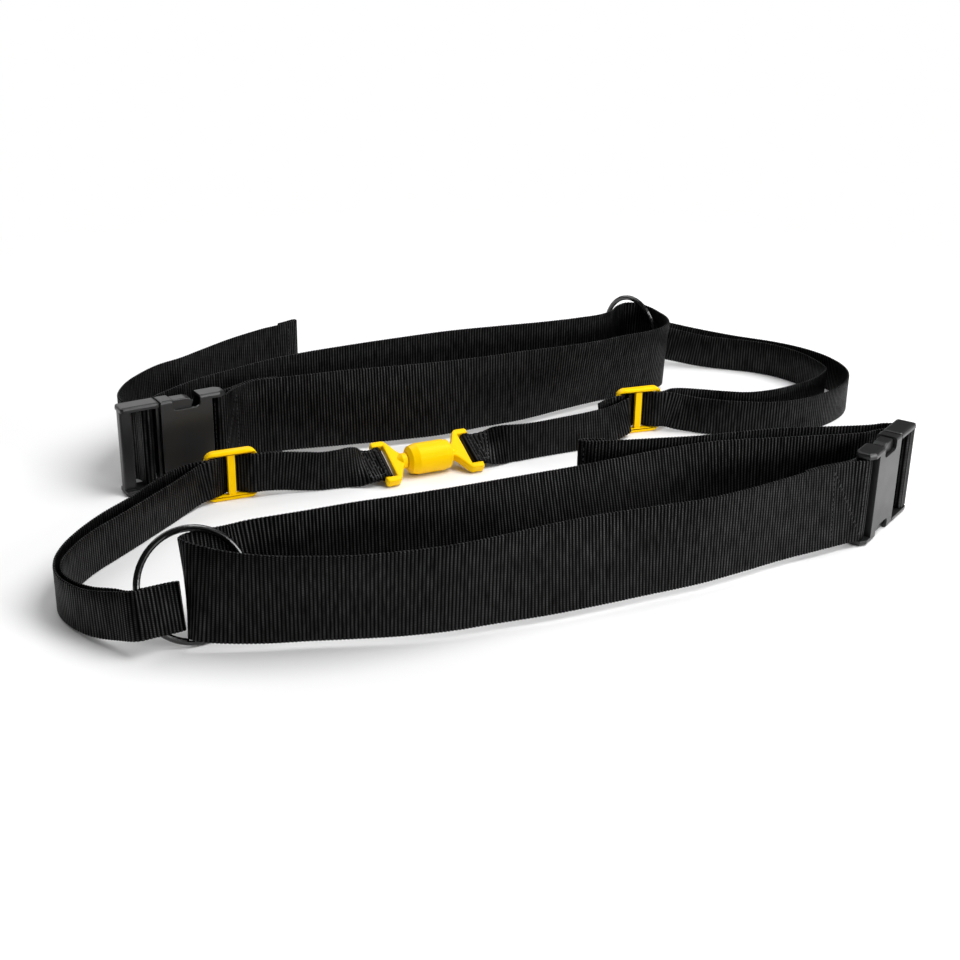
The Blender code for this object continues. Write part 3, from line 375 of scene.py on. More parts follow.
# The left tether: from the connector to its slider, the inner layer on to the front ring,
# and the outer layer back to the slider, where its end hides behind the single run
LEFT_SINGLE_RUN = [
    (-17, 185.4, 42, 2.2), (-26, 184.8, 16, 0.3), (-34, 184.4, 6), (-43, 185.0, 4),
    (-54, 187.0, 6, 1), (-66, 188.6, 3, 2.4)]
LEFT_INNER_RUN = [
    (-117, 188.0, 0, 2.4), (-127, 182.0, 0, 0.8), (-140, 171.0, 0), (-152, 160.5, 0),
    (-165, 149.0, 0), (-178, 138.0, 0), (-191, 127.0, 0), (-202, 115.5, 0), (-209.5, 105.0, 0),
    (-215, 95.0, 0), (-217.3, 83.0, 0), (-214.6, 69.0, 3, 0.5), (-207.6, 54.0, 9, 2),
    (-198.6, 41.5, 16, 5)]
LEFT_OUTER_RUN = [
    (-200.0, 36.5, 17, 6), (-210, 51.0, 9, 2), (-217.5, 67.0, 3, 0.5), (-220.5, 83.0, 0),
    (-218.5, 97.0, 0), (-212, 112.0, 0), (-200, 129.0, 0), (-184, 146.0, 0), (-165, 162.0, 0),
    (-146, 180.0, 0, 0.4), (-130, 190.5, 0, 1.5)]
LEFT_HIDDEN_END = [(-73, 190.9, 3, 2.7), (-66, 190.5, 3, 2.4)]
FRONT_RING_HEIGHT = -9.0 * MM
FRONT_TURN_LEAN = math.tan(math.radians(2.0))

# The right tether: to its slider, the outer layer on to the rear ring, and the inner one back
RIGHT_SINGLE_RUN = [
    (73, 185.6, 42, 2.2), (82, 183.4, 16, 0.3), (91, 182.0, 6), (103, 182.0, 2), (121, 183.0, 4),
    (136, 184.0, 8), (150, 186.0, 8), (161, 188.0, 8, 0.2), (171, 190.2, 7, 1.6),
    (178, 192.6, 4, 3.4)]
RIGHT_OUTER_RUN = [
    (216, 188.0, 8, 1.2), (227, 179.5, 8, 0.2), (240, 169.8, 3), (252, 163.0, 0), (271, 154.8, 0),
    (292, 154.0, 0), (318, 160.0, 0), (343, 174.0, 0), (358, 194.0, 0), (363, 221.0, 0),
    (357, 249.0, 0), (345, 270.0, 0), (326, 291.0, 0, 0.5), (304, 310.0, 2, 3),
    (281, 326.0, 6, 7), (258, 336.5, 11, 10.5)]
RIGHT_INNER_RUN = [
    (262, 323.5, 11, 9.5), (282, 311.5, 5, 5), (303, 298.0, 1, 1), (322, 284.0, 0),
    (338, 268.0, 0), (348, 247.0, 0), (350, 223.0, 0), (345, 201.0, 0), (328, 188.5, 0),
    (305, 180.5, 0), (282, 177.0, 0), (264, 179.0, 0), (249, 186.5, 0, 0.3), (237, 193.5, 0, 0.8),
    (225, 198.5, 0, 1.6), (215, 199.0, 0, 2.6)]
RIGHT_HIDDEN_END = [(163, 196.5, 4, 2.6), (156, 193.5, 6, 1.8)]
REAR_RING_HEIGHT = -6.5 * MM

# Plan points where a strap is cut into stretches, and pairs of them that span a stretch's bend
# from one body to the next; such a stretch is left where it stands
FRONT_CUT, FRONT_RING_BEND = (-101, 44.3), ((-101, 20), (-150, 20))
REAR_CUT, REAR_RING_BEND = (193, 295), ((193, 270), (235, 270))
LEFT_CUT, RIGHT_CUT = (-187, 30), (238, 333)
LEFT_BENDS = (((-45, 186), (-72, 189)), ((-123, 185), (-160, 152)), ((-165, 160), (-128, 189)))
RIGHT_BENDS = (((136, 184), (165, 189)), ((216, 190), (262, 205)), ((262, 172), (216, 157)))
# Shares of a strap's length between which its cuts lie
BELT_CUT_AFTER, BELT_CUT_BEFORE, PLUG_CUT_BEFORE = 0.35, 0.7, 0.9
SLIDER_CUT_BEFORE, RING_CUT_BEFORE = 0.4, 0.8


def strap_reach(bar, thickness):
    """From a bar's middle to the middle of a strap wrapped round it."""
    return bar / 2 + LAYER_GAP + thickness / 2


def belt_strap(side, buckle, outer, fold, inner, tail):
    """One waist belt's webbing, from its sewn end round the socket's bar to its tail's hem.

    The rear belt is threaded over the plug's centre bar, and the front belt over its outer one.
    """
    outward = OUTWARD[side]
    strap = Strap(BELT_WIDTH, BELT_THICKNESS)
    layer = BELT_THICKNESS + 2 * LAYER_GAP
    strap.sew_down(strap.run(outer, BUCKLE_EDGE), BELT_SEAM_LENGTH, -outward * layer)
    centre = (SOCKET_BAR_START + SOCKET_BAR / 2, 0.0)
    reach = strap_reach(SOCKET_BAR, BELT_THICKNESS)
    strap.wrap(buckle, centre, reach, (-outward * SOCKET_TURN[0], outward * SOCKET_TURN[1]))
    strap.follow(outer + fold + inner, BUCKLE_EDGE)
    back_face = -outward * (BUCKLE_THICKNESS / 2 + BELT_THICKNESS / 4)
    start = SOCKET_LENGTH + TOUCH_GAP
    if side == "rear":
        bar = (start + PLUG_RIB + PLUG_SLOT + PLUG_BAR / 2, outward * PLUG_BAR_FORWARD)
        reach = strap_reach(PLUG_BAR, BELT_THICKNESS)
        strap.pass_by(buckle, bar[0] - reach, back_face)
        strap.wrap(buckle, bar, reach, (outward * 180, 0))
        strap.pass_by(buckle, bar[0] + reach, back_face)
    else:
        reach = 2 * LAYER_GAP + BELT_THICKNESS / 2
        front_face, rear_face = (outward * way * (PLUG_BAR + reach) for way in (1, -1))
        end = start + PLUG_BASE_LENGTH
        near = end - PLUG_OUTER_BAR - reach
        strap.pass_by(buckle, near - BELT_THICKNESS, back_face)
        strap.pass_by(buckle, near, 0.0)
        strap.pass_by(buckle, near + reach / 2, front_face)
        strap.pass_by(buckle, end - PLUG_OUTER_BAR / 2, front_face + outward * LAYER_GAP)
        strap.pass_by(buckle, end, front_face)
        strap.pass_by(buckle, end + reach, front_face / 2)
        strap.pass_by(buckle, end + reach, rear_face / 2)
        strap.pass_by(buckle, end, back_face)
    strap.follow(tail, BUCKLE_EDGE)
    strap.turn_back(outward, BELT_HEM_LENGTH)
    return strap


def through_slider(strap, slider, layer, backwards=False, skip=(0, 0)):
    """Over the slider's end bars and behind its middle one. Layer 0 is on the -Y side.

    The strap hangs free of as many marks as skip says, where it comes and where it leaves.
    """
    step = TETHER_THICKNESS + LAYER_GAP
    near = strap_reach(SLIDER_BAR_THICKNESS, TETHER_THICKNESS)
    over, under = -near - (1 - layer) * step, near + layer * step
    inner, outer = SLIDER_LENGTH / 2 - SLIDER_BAR, SLIDER_LENGTH / 2
    middle = SLIDER_CENTRE_BAR / 2
    slope = math.atan2(2 * near + step, inner - middle)
    aside = (layer - 0.5) * step
    halfway = ((inner + middle) / 2 + aside * math.sin(slope), aside * math.cos(slope))
    half = [(outer, over), (inner, over), halfway, (middle, under)]
    marks = [(-x, y) for x, y in half] + half[::-1]
    marks = marks[::-1] if backwards else marks
    for x, y in marks[skip[0]:len(marks) - skip[1]]:
        strap.pass_by(slider, x, y)


def hook_loop(strap, side, single):
    """The sewn end, the turn round the hook's bar and the single run that starts there."""
    layer = TETHER_THICKNESS + 2 * LAYER_GAP
    straight = [CONNECTOR.station(side * (HOOK_BAR_PLACE + ahead), -layer / 2)
                for ahead in HOOK_STRAIGHT]
    run = straight + strap.run(single, 0.0)
    strap.sew_down(run, TETHER_SEAM_LENGTH, -side * layer)
    reach = strap_reach(HOOK_BAR, TETHER_THICKNESS)
    angles = (100, -100) if side < 0 else (80, 280)
    strap.wrap(CONNECTOR, (side * HOOK_BAR_PLACE, 0.0), reach, angles)
    strap.stations += run


def left_tether_strap():
    """The left tether's webbing, in one length."""
    strap = Strap(TETHER_WIDTH, TETHER_THICKNESS)
    hook_loop(strap, -1, LEFT_SINGLE_RUN)
    through_slider(strap, LEFT_SLIDER, 0, backwards=True, skip=(0, 1))
    strap.follow(LEFT_INNER_RUN, 0.0)
    apart = RING_WIRE / 2 + TETHER_THICKNESS / 2 + 2 * LAYER_GAP
    outside, inside = FRONT_TURN_REACH
    first = len(strap.stations)
    strap.pass_by(FRONT_RING, outside, apart, FRONT_RING_HEIGHT)
    strap.pass_by(FRONT_RING, inside, apart, FRONT_RING_HEIGHT)
    strap.wrap(FRONT_RING, FRONT_TURN, apart, (90, -90), FRONT_RING_HEIGHT)
    strap.pass_by(FRONT_RING, inside, -apart, FRONT_RING_HEIGHT)
    strap.pass_by(FRONT_RING, outside, -apart, FRONT_RING_HEIGHT)
    for at in range(first, len(strap.stations)):
        spot = strap.stations[at]
        strap.stations[at] = (*spot[:3], spot[3] + FRONT_TURN_LEAN, spot[4])
    strap.follow(LEFT_OUTER_RUN, 0.0)
    through_slider(strap, LEFT_SLIDER, 1)
    strap.follow(LEFT_HIDDEN_END, 0.0)
    return strap


def right_tether_strap():
    """The right tether's webbing, in one length."""
    strap = Strap(TETHER_WIDTH, TETHER_THICKNESS)
    hook_loop(strap, 1, RIGHT_SINGLE_RUN)
    through_slider(strap, RIGHT_SLIDER, 0, skip=(2, 0))
    strap.follow(RIGHT_OUTER_RUN, 0.0)
    chord = TETHER_WIDTH / 2
    low, high = (-math.sqrt(RING_RADIUS ** 2 - (REAR_RING_HEIGHT + step) ** 2)
                 for step in (-chord, chord))
    bulge = RING_RADIUS - math.sqrt(RING_RADIUS ** 2 - chord ** 2)
    apart = RING_WIRE / 2 + TETHER_THICKNESS / 2 + 3 * LAYER_GAP + bulge / 2
    centre = ((low + high) / 2 - bulge / 2 + LAYER_GAP / 2, 0.0)
    first = len(strap.stations)
    strap.pass_by(REAR_RING, centre[0] - apart, REAR_TURN_SPREAD, REAR_RING_HEIGHT)
    strap.wrap(REAR_RING, centre, apart, (180, 360), REAR_RING_HEIGHT)
    strap.pass_by(REAR_RING, centre[0] + apart, REAR_TURN_SPREAD, REAR_RING_HEIGHT)
    tilt = REAR_RING.direction(-1, 0, 0) * (low - high) / TETHER_WIDTH
    for at in range(first, len(strap.stations)):
        strap.stations[at] = (*strap.stations[at][:3], tilt.x, tilt.y)
    strap.follow(RIGHT_INNER_RUN, 0.0)
    through_slider(strap, RIGHT_SLIDER, 1, backwards=True)
    strap.follow(RIGHT_HIDDEN_END, 0.0)
    return strap


# Materials


def colour(code):
    """A linear colour from its sRGB hex code."""
    parts = [int(code[at:at + 2], 16) / 255 for at in (1, 3, 5)]
    linear = [v / 12.92 if v <= 0.04045 else ((v + 0.055) / 1.055) ** 2.4 for v in parts]
    return (*linear, 1.0)


def new_material(name, looks):
    """A material, its node tree and its principled shader, whose inputs are given by name."""
    material = bpy.data.materials.new(name)
    material.use_nodes = True
    shader = material.node_tree.nodes["Principled BSDF"]
    for key, value in looks.items():
        shader.inputs[key].default_value = value
    return material, material.node_tree, shader


def add_node(tree, kind, inputs=None, **settings):
    """One shader node with its settings. Each input is a value, or a socket or node to link."""
    node = tree.nodes.new("ShaderNode" + kind)
    for key, value in settings.items():
        setattr(node, key, value)
    for key, value in (inputs or {}).items():
        if isinstance(value, bpy.types.Node):
            value = value.outputs[0]
        if isinstance(value, bpy.types.NodeSocket):
            tree.links.new(value, node.inputs[key])
        else:
            node.inputs[key].default_value = value
    return node


def webbing_material(name, settings):
    """Nylon webbing, woven in ribs that are rows of staggered yarn floats.

    Its colour is painted: near black in the valleys as painted shade, and lighter on the ribs'
    crests as a painted highlight, in short soft dashes that differ from one rib to the next.
    """
    material, tree, shader = new_material(name, {"Roughness": 0.4, "IOR": 1.53})
    place = add_node(tree, "UVMap", uv_map="UVMap")
    split = add_node(tree, "SeparateXYZ", {0: place})
    space = add_node(tree, "TexCoord").outputs["Object"]
    # The ribs' crests, at the pitch that the mesh has too
    rib = add_node(tree, "Math", {0: split, 1: settings.rib_pitch}, operation="DIVIDE")
    arch = add_node(tree, "Math", {0: rib, 1: math.pi}, operation="MULTIPLY")
    arch = add_node(tree, "Math", {0: arch}, operation="SINE")
    arch = add_node(tree, "Math", {0: arch}, operation="ABSOLUTE")
    crest = add_node(tree, "Math", {0: arch, 1: 3.0}, operation="POWER")
    # The floats along a rib, half a step on from those of the next one, and a little uneven
    number = add_node(tree, "Math", {0: rib}, operation="FLOOR")
    parity = add_node(tree, "Math", {0: number, 1: 2.0}, operation="MODULO")
    yarn = add_node(tree, "Math", {0: split.outputs[1], 1: settings.yarn_pitch},
                    operation="DIVIDE")
    yarn = add_node(tree, "Math", {0: parity, 1: 0.5, 2: yarn}, operation="MULTIPLY_ADD")
    drift = add_node(tree, "TexNoise", {"Vector": place, "Scale": YARN_DRIFT, "Detail": 2.0})
    yarn = add_node(tree, "Math", {0: drift, 1: 0.5, 2: yarn}, operation="MULTIPLY_ADD")
    wave = add_node(tree, "Math", {0: yarn, 1: 2 * math.pi}, operation="MULTIPLY")
    wave = add_node(tree, "Math", {0: wave}, operation="SINE")
    dots = add_node(tree, "Math", {0: wave, 1: 0.5, 2: 0.5}, operation="MULTIPLY_ADD")
    # Between two floats, three tenths of the light are left
    dots = add_node(tree, "Math", {0: dots, 1: 0.7, 2: 0.3}, operation="MULTIPLY_ADD")
    floats = add_node(tree, "Math", {0: crest, 1: dots}, operation="MULTIPLY")
    # The painted highlight is brighter on some ribs and yarns than on their neighbours, and more
    # so in some broad patches
    along = add_node(tree, "VectorMath", {0: place, 1: (1.0, STREAK_STRETCH, 1.0)},
                     operation="MULTIPLY")
    streak = add_node(tree, "TexNoise", {"Vector": along, "Scale": RIB_STREAK, "Detail": 2.0})
    streak = add_node(tree, "Math", {0: streak, 1: 2.2, 2: -0.35}, operation="MULTIPLY_ADD")
    cloud = add_node(tree, "TexNoise", {"Vector": space, "Scale": CREST_LIGHT_CLOUD, "Detail": 1.0})
    cloud = add_node(tree, "Math", {0: cloud, 1: 0.5, 2: 0.5}, operation="MULTIPLY_ADD")
    uneven = add_node(tree, "Math", {0: streak, 1: cloud}, operation="MULTIPLY")
    uneven = add_node(tree, "Math", {0: uneven, 1: 0.05}, operation="MAXIMUM")
    lit = add_node(tree, "Math", {0: floats, 1: uneven}, operation="MULTIPLY")
    # Painted light: the crests are painted lighter as a painted highlight, and the valleys near
    # black as painted shade
    painted_crest_light = add_node(tree, "Mix", {"Factor": lit, "A": colour("#010101"), "B": colour("#19191a")},
                   data_type="RGBA")
    tree.links.new(painted_crest_light.outputs["Result"], shader.inputs["Base Color"])
    fibre = add_node(tree, "TexNoise", {"Vector": space, "Scale": FIBRE_GRAIN, "Detail": 2.0})
    height = add_node(tree, "Math", {0: fibre, 1: 0.3, 2: floats}, operation="MULTIPLY_ADD")
    bump = add_node(tree, "Bump", {"Height": height, "Distance": 0.2 * MM, "Strength": 0.5})
    tree.links.new(bump.outputs[0], shader.inputs["Normal"])
    # Yarns shade each other in the valleys, so only their crests shine
    shine = add_node(tree, "Math", {0: lit, 1: 0.6, 2: 0.02}, operation="MULTIPLY_ADD")
    tree.links.new(shine.outputs[0], shader.inputs["Specular IOR Level"])
    return material


def moulded_material(name, code, roughness, grain, looks):
    """Injection-moulded acetal or nylon: the mould's fine grain gives it a broad, soft sheen.

    Its corners are slightly rounded, so that they catch the light as thin lines.
    """
    looks = {"Base Color": colour(code), "IOR": 1.48, **looks}
    material, tree, shader = new_material(name, looks)
    space = add_node(tree, "TexCoord").outputs["Object"]
    fine = add_node(tree, "TexNoise", {"Vector": space, "Scale": MOULD_GRAIN, "Detail": 2.0})
    edge = add_node(tree, "Bevel", {"Radius": 0.5 * MM}, samples=4)
    bump = add_node(tree, "Bump", {"Height": fine, "Distance": 0.02 * MM, "Strength": grain,
                                   "Normal": edge})
    slow = add_node(tree, "TexNoise", {"Vector": space, "Scale": MOULD_CLOUD, "Detail": 2.0})
    uneven = add_node(tree, "MapRange", {"Value": slow, "To Min": roughness - 0.05,
                                         "To Max": roughness + 0.07})
    tree.links.new(bump.outputs[0], shader.inputs["Normal"])
    tree.links.new(uneven.outputs[0], shader.inputs["Roughness"])
    return material


def enamelled_steel_material(name):
    """Steel wire, bent, welded and dipped in black enamel: glossy, with a slightly wavy gleam."""
    material, tree, shader = new_material(name, {
        "Base Color": colour("#050505"), "Roughness": 0.2, "IOR": 1.5,
        "Coat Weight": 0.3, "Coat Roughness": 0.08})
    space = add_node(tree, "TexCoord").outputs["Object"]
    wave = add_node(tree, "TexNoise", {"Vector": space, "Scale": ENAMEL_WAVE, "Detail": 2.0})
    bump = add_node(tree, "Bump", {"Height": wave, "Distance": 0.05 * MM, "Strength": 0.25})
    tree.links.new(bump.outputs[0], shader.inputs["Normal"])
    return material


def thread_material(name):
    """Twisted and bonded polyester thread: black, a shade lighter than the webbing under it."""
    material, tree, shader = new_material(name, {
        "Base Color": colour("#161617"), "Roughness": 0.42, "IOR": 1.57})
    space = add_node(tree, "TexCoord").outputs["Object"]
    twist = add_node(tree, "TexNoise", {"Vector": space, "Scale": THREAD_TWIST, "Detail": 1.0})
    bump = add_node(tree, "Bump", {"Height": twist, "Distance": 0.05 * MM, "Strength": 0.6})
    tree.links.new(bump.outputs[0], shader.inputs["Normal"])
    return material


def paper_material(name, settings):
    """Matt white background paper: plain, with soft shadows where the belts stand on it.

    Where the camera sees it, it brightens to pure white away from the belts.
    """
    material, tree, shader = new_material(name, {
        "Base Color": colour("#f4f4f4"), "Roughness": 0.7})
    ground = add_node(tree, "TexCoord").outputs["Object"]
    away = add_node(tree, "VectorMath", {0: ground}, operation="LENGTH")
    fade = add_node(tree, "MapRange", {
        "Value": away.outputs["Value"], "From Min": settings.fade_start,
        "From Max": settings.fade_end}, interpolation_type="SMOOTHSTEP")
    seen = add_node(tree, "LightPath").outputs["Is Camera Ray"]
    share = add_node(tree, "Math", {0: fade, 1: seen}, operation="MULTIPLY")
    glow = add_node(tree, "Emission", {"Color": colour("#ffffff"), "Strength": 1.0})
    blend = add_node(tree, "MixShader", {0: share, 1: shader, 2: glow})
    tree.links.new(blend.outputs[0], tree.nodes["Material Output"].inputs["Surface"])
    return material


# Settings

LENGTH = {"unit": "LENGTH", "subtype": "DISTANCE", "precision": 5}
ANGLE = {"unit": "ROTATION", "subtype": "ANGLE"}


def setting(name, description, default, **more):
    """A number that can be set in the panel."""
    return bpy.props.FloatProperty(name=name, description=description, default=default, **more)


class BeltWebbingSettings(bpy.types.PropertyGroup):
    """What the webbing's weave looks like."""

    rib_pitch: setting("Rib pitch", "From one rib across the webbing to the next",
                       1.97 * MM, **LENGTH)
    rib_depth: setting("Rib depth", "How far the valleys lie below the ribs", 0.2 * MM, **LENGTH)
    edge_depth: setting("Edge teeth", "How far the valleys draw the woven edge in",
                        0.3 * MM, **LENGTH)
    yarn_pitch: setting("Yarn pitch", "From one yarn float to the next along a rib",
                        1.0 * MM, **LENGTH)
    samples: bpy.props.IntProperty(
        name="Rings for each rib", description="How finely each rib is shaped",
        default=6, min=3, max=10)


class BeltPlasticSettings(bpy.types.PropertyGroup):
    """Finish of the moulded pieces."""

    black_roughness: setting("Black roughness", "Roughness of the buckles' acetal",
                             0.33, min=0, max=1)
    yellow_roughness: setting("Yellow roughness", "Roughness of the yellow mouldings",
                              0.36, min=0, max=1)


class BeltStitchSettings(bpy.types.PropertyGroup):
    """Sewing thread and stitch size."""

    length: setting("Stitch", "Length of one visible stitch", 2.2 * MM, **LENGTH)
    gap: setting("Gap", "Between two stitches", 0.7 * MM, **LENGTH)
    thread: setting("Thread", "Width of the thread", 0.55 * MM, **LENGTH)


class BeltStageSettings(bpy.types.PropertyGroup):
    """Camera, floor and lights."""

    lens: setting("Lens", "Focal length on a 36 mm wide sensor, in millimetres", 56.25)
    height: setting("Camera height", "Above the floor", 0.369, **LENGTH)
    pitch: setting("Pitch", "How far the camera looks down", math.radians(23.0), **ANGLE)
    heading: setting("Heading", "Turn of the camera to the right of +Y",
                     math.radians(25.0), **ANGLE)
    roll: setting("Roll", "Turn about the line of sight", math.radians(1.0), **ANGLE)
    key_power: setting("Key light", "Power of the softbox high on the right, in watts", 27.0)
    rear_power: setting("Rear light", "Power of the softbox high behind, in watts", 13.0)
    front_power: setting("Front light", "Power of the small softbox low on the right, in watts",
                         9.0)
    fade_start: setting("Fade from", "Where the floor starts to turn plain white", 0.42, **LENGTH)
    fade_end: setting("Fade to", "Where the floor is plain white", 0.75, **LENGTH)
    surround: setting("Surround", "Strength of the white room that lights the set", 0.26)
    reflected: setting("Reflected room", "Strength of the room where it is mirrored", 0.06)


# Building


def finished_mesh(name, bm):
    """The mesh of a bmesh, which is freed."""
    mesh = bpy.data.meshes.new(name)
    bm.to_mesh(mesh)
    bm.free()
    return mesh


def strip_outline(width, thickness):
    """Points round a strip's cross-section, from a face's edge and back to it: across, off."""
    high, deep = width / 2, thickness / 2
    edge = thickness * EDGE_ROUNDING
    shoulder = deep * EDGE_FULLNESS
    half = [(high / 3, deep), (high - edge, deep), (high - edge / 4, shoulder), (high, 0),
            (high - edge / 4, -shoulder), (high - edge, -deep), (high / 3, -deep)]
    flipped = [(-across, -off) for across, off in half]
    return np.array(flipped[-2:] + half + flipped[:-1])


def strip_mesh(name, curve, size, settings, start, end):
    """A stretch of ribbed webbing as a mesh, with its UVs in metres along and across."""
    marks, places, ups, outs = curve
    kept = (marks >= start - ROUNDING) & (marks <= end + ROUNDING)
    marks, places, ups, outs = marks[kept], places[kept], ups[kept], outs[kept]
    ring = strip_outline(*size)
    rows, columns = len(marks) - 1, len(ring) - 1
    bm = bmesh.new()
    bm.loops.layers.uv.new("UVMap")
    bmesh.ops.create_grid(bm, x_segments=rows, y_segments=columns, size=1.0, calc_uvs=True)
    mesh = finished_mesh(name, bm)
    # The grid's flat points and UVs say which row and column each one belongs to
    spots = np.empty(len(mesh.vertices) * 3)
    mesh.vertices.foreach_get("co", spots)
    spots = spots.reshape(-1, 3)
    row = np.rint((spots[:, 0] + 1) / 2 * rows).astype(int)
    column = np.rint((spots[:, 1] + 1) / 2 * columns).astype(int)
    low = (1 - np.abs(np.sin(math.pi * marks / settings.rib_pitch)) ** RIB_FULLNESS)[row]
    across, off = ring[column, 0], ring[column, 1]
    teeth = settings.edge_depth * low * (np.abs(across) > size[0] / 2 * EDGE_START)
    across = np.sign(across) * (np.abs(across) - teeth)
    off = np.sign(off) * np.maximum(np.abs(off) - settings.rib_depth * low, 0)
    spots = places[row] + ups[row] * across[:, None] + outs[row] * off[:, None]
    mesh.vertices.foreach_set("co", spots.ravel())
    uvs = np.empty(len(mesh.loops) * 2)
    mesh.uv_layers["UVMap"].data.foreach_get("uv", uvs)
    uvs = uvs.reshape(-1, 2)
    uv_row = np.rint(uvs[:, 0] * rows).astype(int)
    uv_column = np.rint(uvs[:, 1] * columns).astype(int)
    rim = np.concatenate([[0], np.cumsum(np.linalg.norm(np.diff(ring, axis=0), axis=1))])
    uvs = np.stack([marks[uv_row], rim[uv_column]], axis=1)
    mesh.uv_layers["UVMap"].data.foreach_set("uv", uvs.ravel())
    # The grid's long edges are joined into a tube, and its ends are closed
    bm = bmesh.new()
    bm.from_mesh(mesh)
    bmesh.ops.remove_doubles(bm, verts=bm.verts, dist=0.001 * MM)
    ends = [edge for edge in bm.edges if edge.is_boundary]
    bmesh.ops.holes_fill(bm, edges=ends, sides=0)
    bmesh.ops.recalc_face_normals(bm, faces=bm.faces)
    bm.to_mesh(mesh)
    bm.free()
    mesh.shade_smooth()
    return mesh


def add_object(name, mesh, material):
    """A finished piece at the origin."""
    mesh.materials.clear()
    mesh.materials.append(material)
    obj = bpy.data.objects.new(name, mesh)
    bpy.context.collection.objects.link(obj)
    return obj


def add_stretch(name, node, mesh, material, bodies, bend):
    """A stretch of a node's webbing, on one body, or left where it stands when it lies in a bend.
    """
    obj = add_object(name, mesh, material)
    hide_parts(node)
    if bend:
        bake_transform(obj)
    else:
        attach(obj, *bodies)
    return obj


def nearest_mark(curve, spot, after, before):
    """How far along a strap its nearest place to a plan point is, within limits."""
    marks, places = curve[:2]
    point = plan(*spot)
    away = np.hypot(places[:, 0] - point.x, places[:, 1] - point.y)
    away[(marks < after) | (marks > before)] = math.inf
    return marks[int(np.argmin(away))]


def on_strap(curve, along, across, lift):
    """A point on the strap's face, and the strap's up, out and forward directions there."""
    marks, places, ups, outs = curve
    at = min(len(marks) - 1, int(round(along / (marks[1] - marks[0]))))
    point = Vector(places[at] + ups[at] * across + outs[at] * lift)
    up, out = Vector(ups[at]), Vector(outs[at])
    return point, up, out, out.cross(up)


def sew(name, curve, lift, lines, settings, material, body):
    """Rows of stitches on a strap's face. Each line is a pair of (along, across) ends."""
    bm = bmesh.new()
    pitch = settings.length + settings.gap
    thread = settings.thread / 2
    for start, end in lines:
        length = math.hypot(end[0] - start[0], end[1] - start[1])
        count = max(1, round(length / pitch))
        for number in range(count):
            share = (number + 0.5) / count
            along = start[0] + (end[0] - start[0]) * share
            across = start[1] + (end[1] - start[1]) * share
            point, up, out, way = on_strap(curve, along, across, lift)
            line = (way * (end[0] - start[0]) + up * (end[1] - start[1])).normalized()
            side = out.cross(line)
            turn = Matrix((line, side, out)).transposed().to_4x4()
            size = Matrix.Diagonal((settings.length / 2, thread, thread * THREAD_FLATNESS, 1))
            bmesh.ops.create_icosphere(bm, subdivisions=2, radius=1.0,
                                       matrix=Matrix.Translation(point) @ turn @ size)
    mesh = finished_mesh(name, bm)
    mesh.shade_smooth()
    stitches = add_object(name, mesh, material)
    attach(stitches, body)


def dress_belt(side, buckle, routes, cut_at, ring_bend, settings):
    """One waist belt's webbing in three stretches, and its stitches."""
    webbing = settings.belt_webbing
    size = (BELT_WIDTH, BELT_THICKNESS)
    curve = belt_strap(side, buckle, *routes).curve(webbing.rib_pitch / webbing.samples)
    material = webbing_material(f"black_nylon_webbing_{side}", webbing)
    thread = thread_material(f"black_polyester_thread_{side}")
    belt, ring, plug = f"{side}_belt", f"{side}_ring", f"{side}_plug"
    socket, plug_piece = f"{side}_buckle_socket", f"{side}_buckle_plug"
    inner_end = routes[2][-1][:2]
    whole = curve[0][-1]
    cut = nearest_mark(curve, cut_at, whole * BELT_CUT_AFTER, whole * BELT_CUT_BEFORE)
    turn = nearest_mark(curve, inner_end, cut, whole * PLUG_CUT_BEFORE)
    stretches = (
        ("outer_webbing", 0.0, cut, (belt, ring), ring_bend, "stretched", socket),
        ("inner_webbing", cut, turn, (belt, plug), (cut_at, inner_end), "stretched", plug_piece),
        ("tail_webbing", turn, whole, (plug,), (), "laid", plug_piece))
    for label, start, end, bodies, bend, held, rest in stretches:
        name = f"{side}_{label}"
        mesh = strip_mesh(name, curve, size, webbing, start, end)
        obj = add_stretch(name, f"{side}_belt_webbing", mesh, material, bodies, bend)
    lift = OUTWARD[side] * BELT_THICKNESS / 2
    half = BELT_WIDTH / 2 - BELT_STITCH_INSET
    first = BELT_SEAM_LENGTH + BELT_STITCH_START
    second = first + BELT_STITCH_LENGTH
    lines = [((first, -half), (first, half)), ((second, -half), (second, half)),
             ((first, -half), (second, half))]
    sew(f"{side}_bar_stitches", curve, lift, lines, settings.belt_stitches, thread, belt)
    hem = whole - BELT_HEM_LENGTH - HEM_TURN
    lines = [((hem - row, -half), (hem - row, half)) for row in HEM_ROWS]
    sew(f"{side}_hem_stitches", curve, lift, lines, settings.belt_stitches, thread, plug)


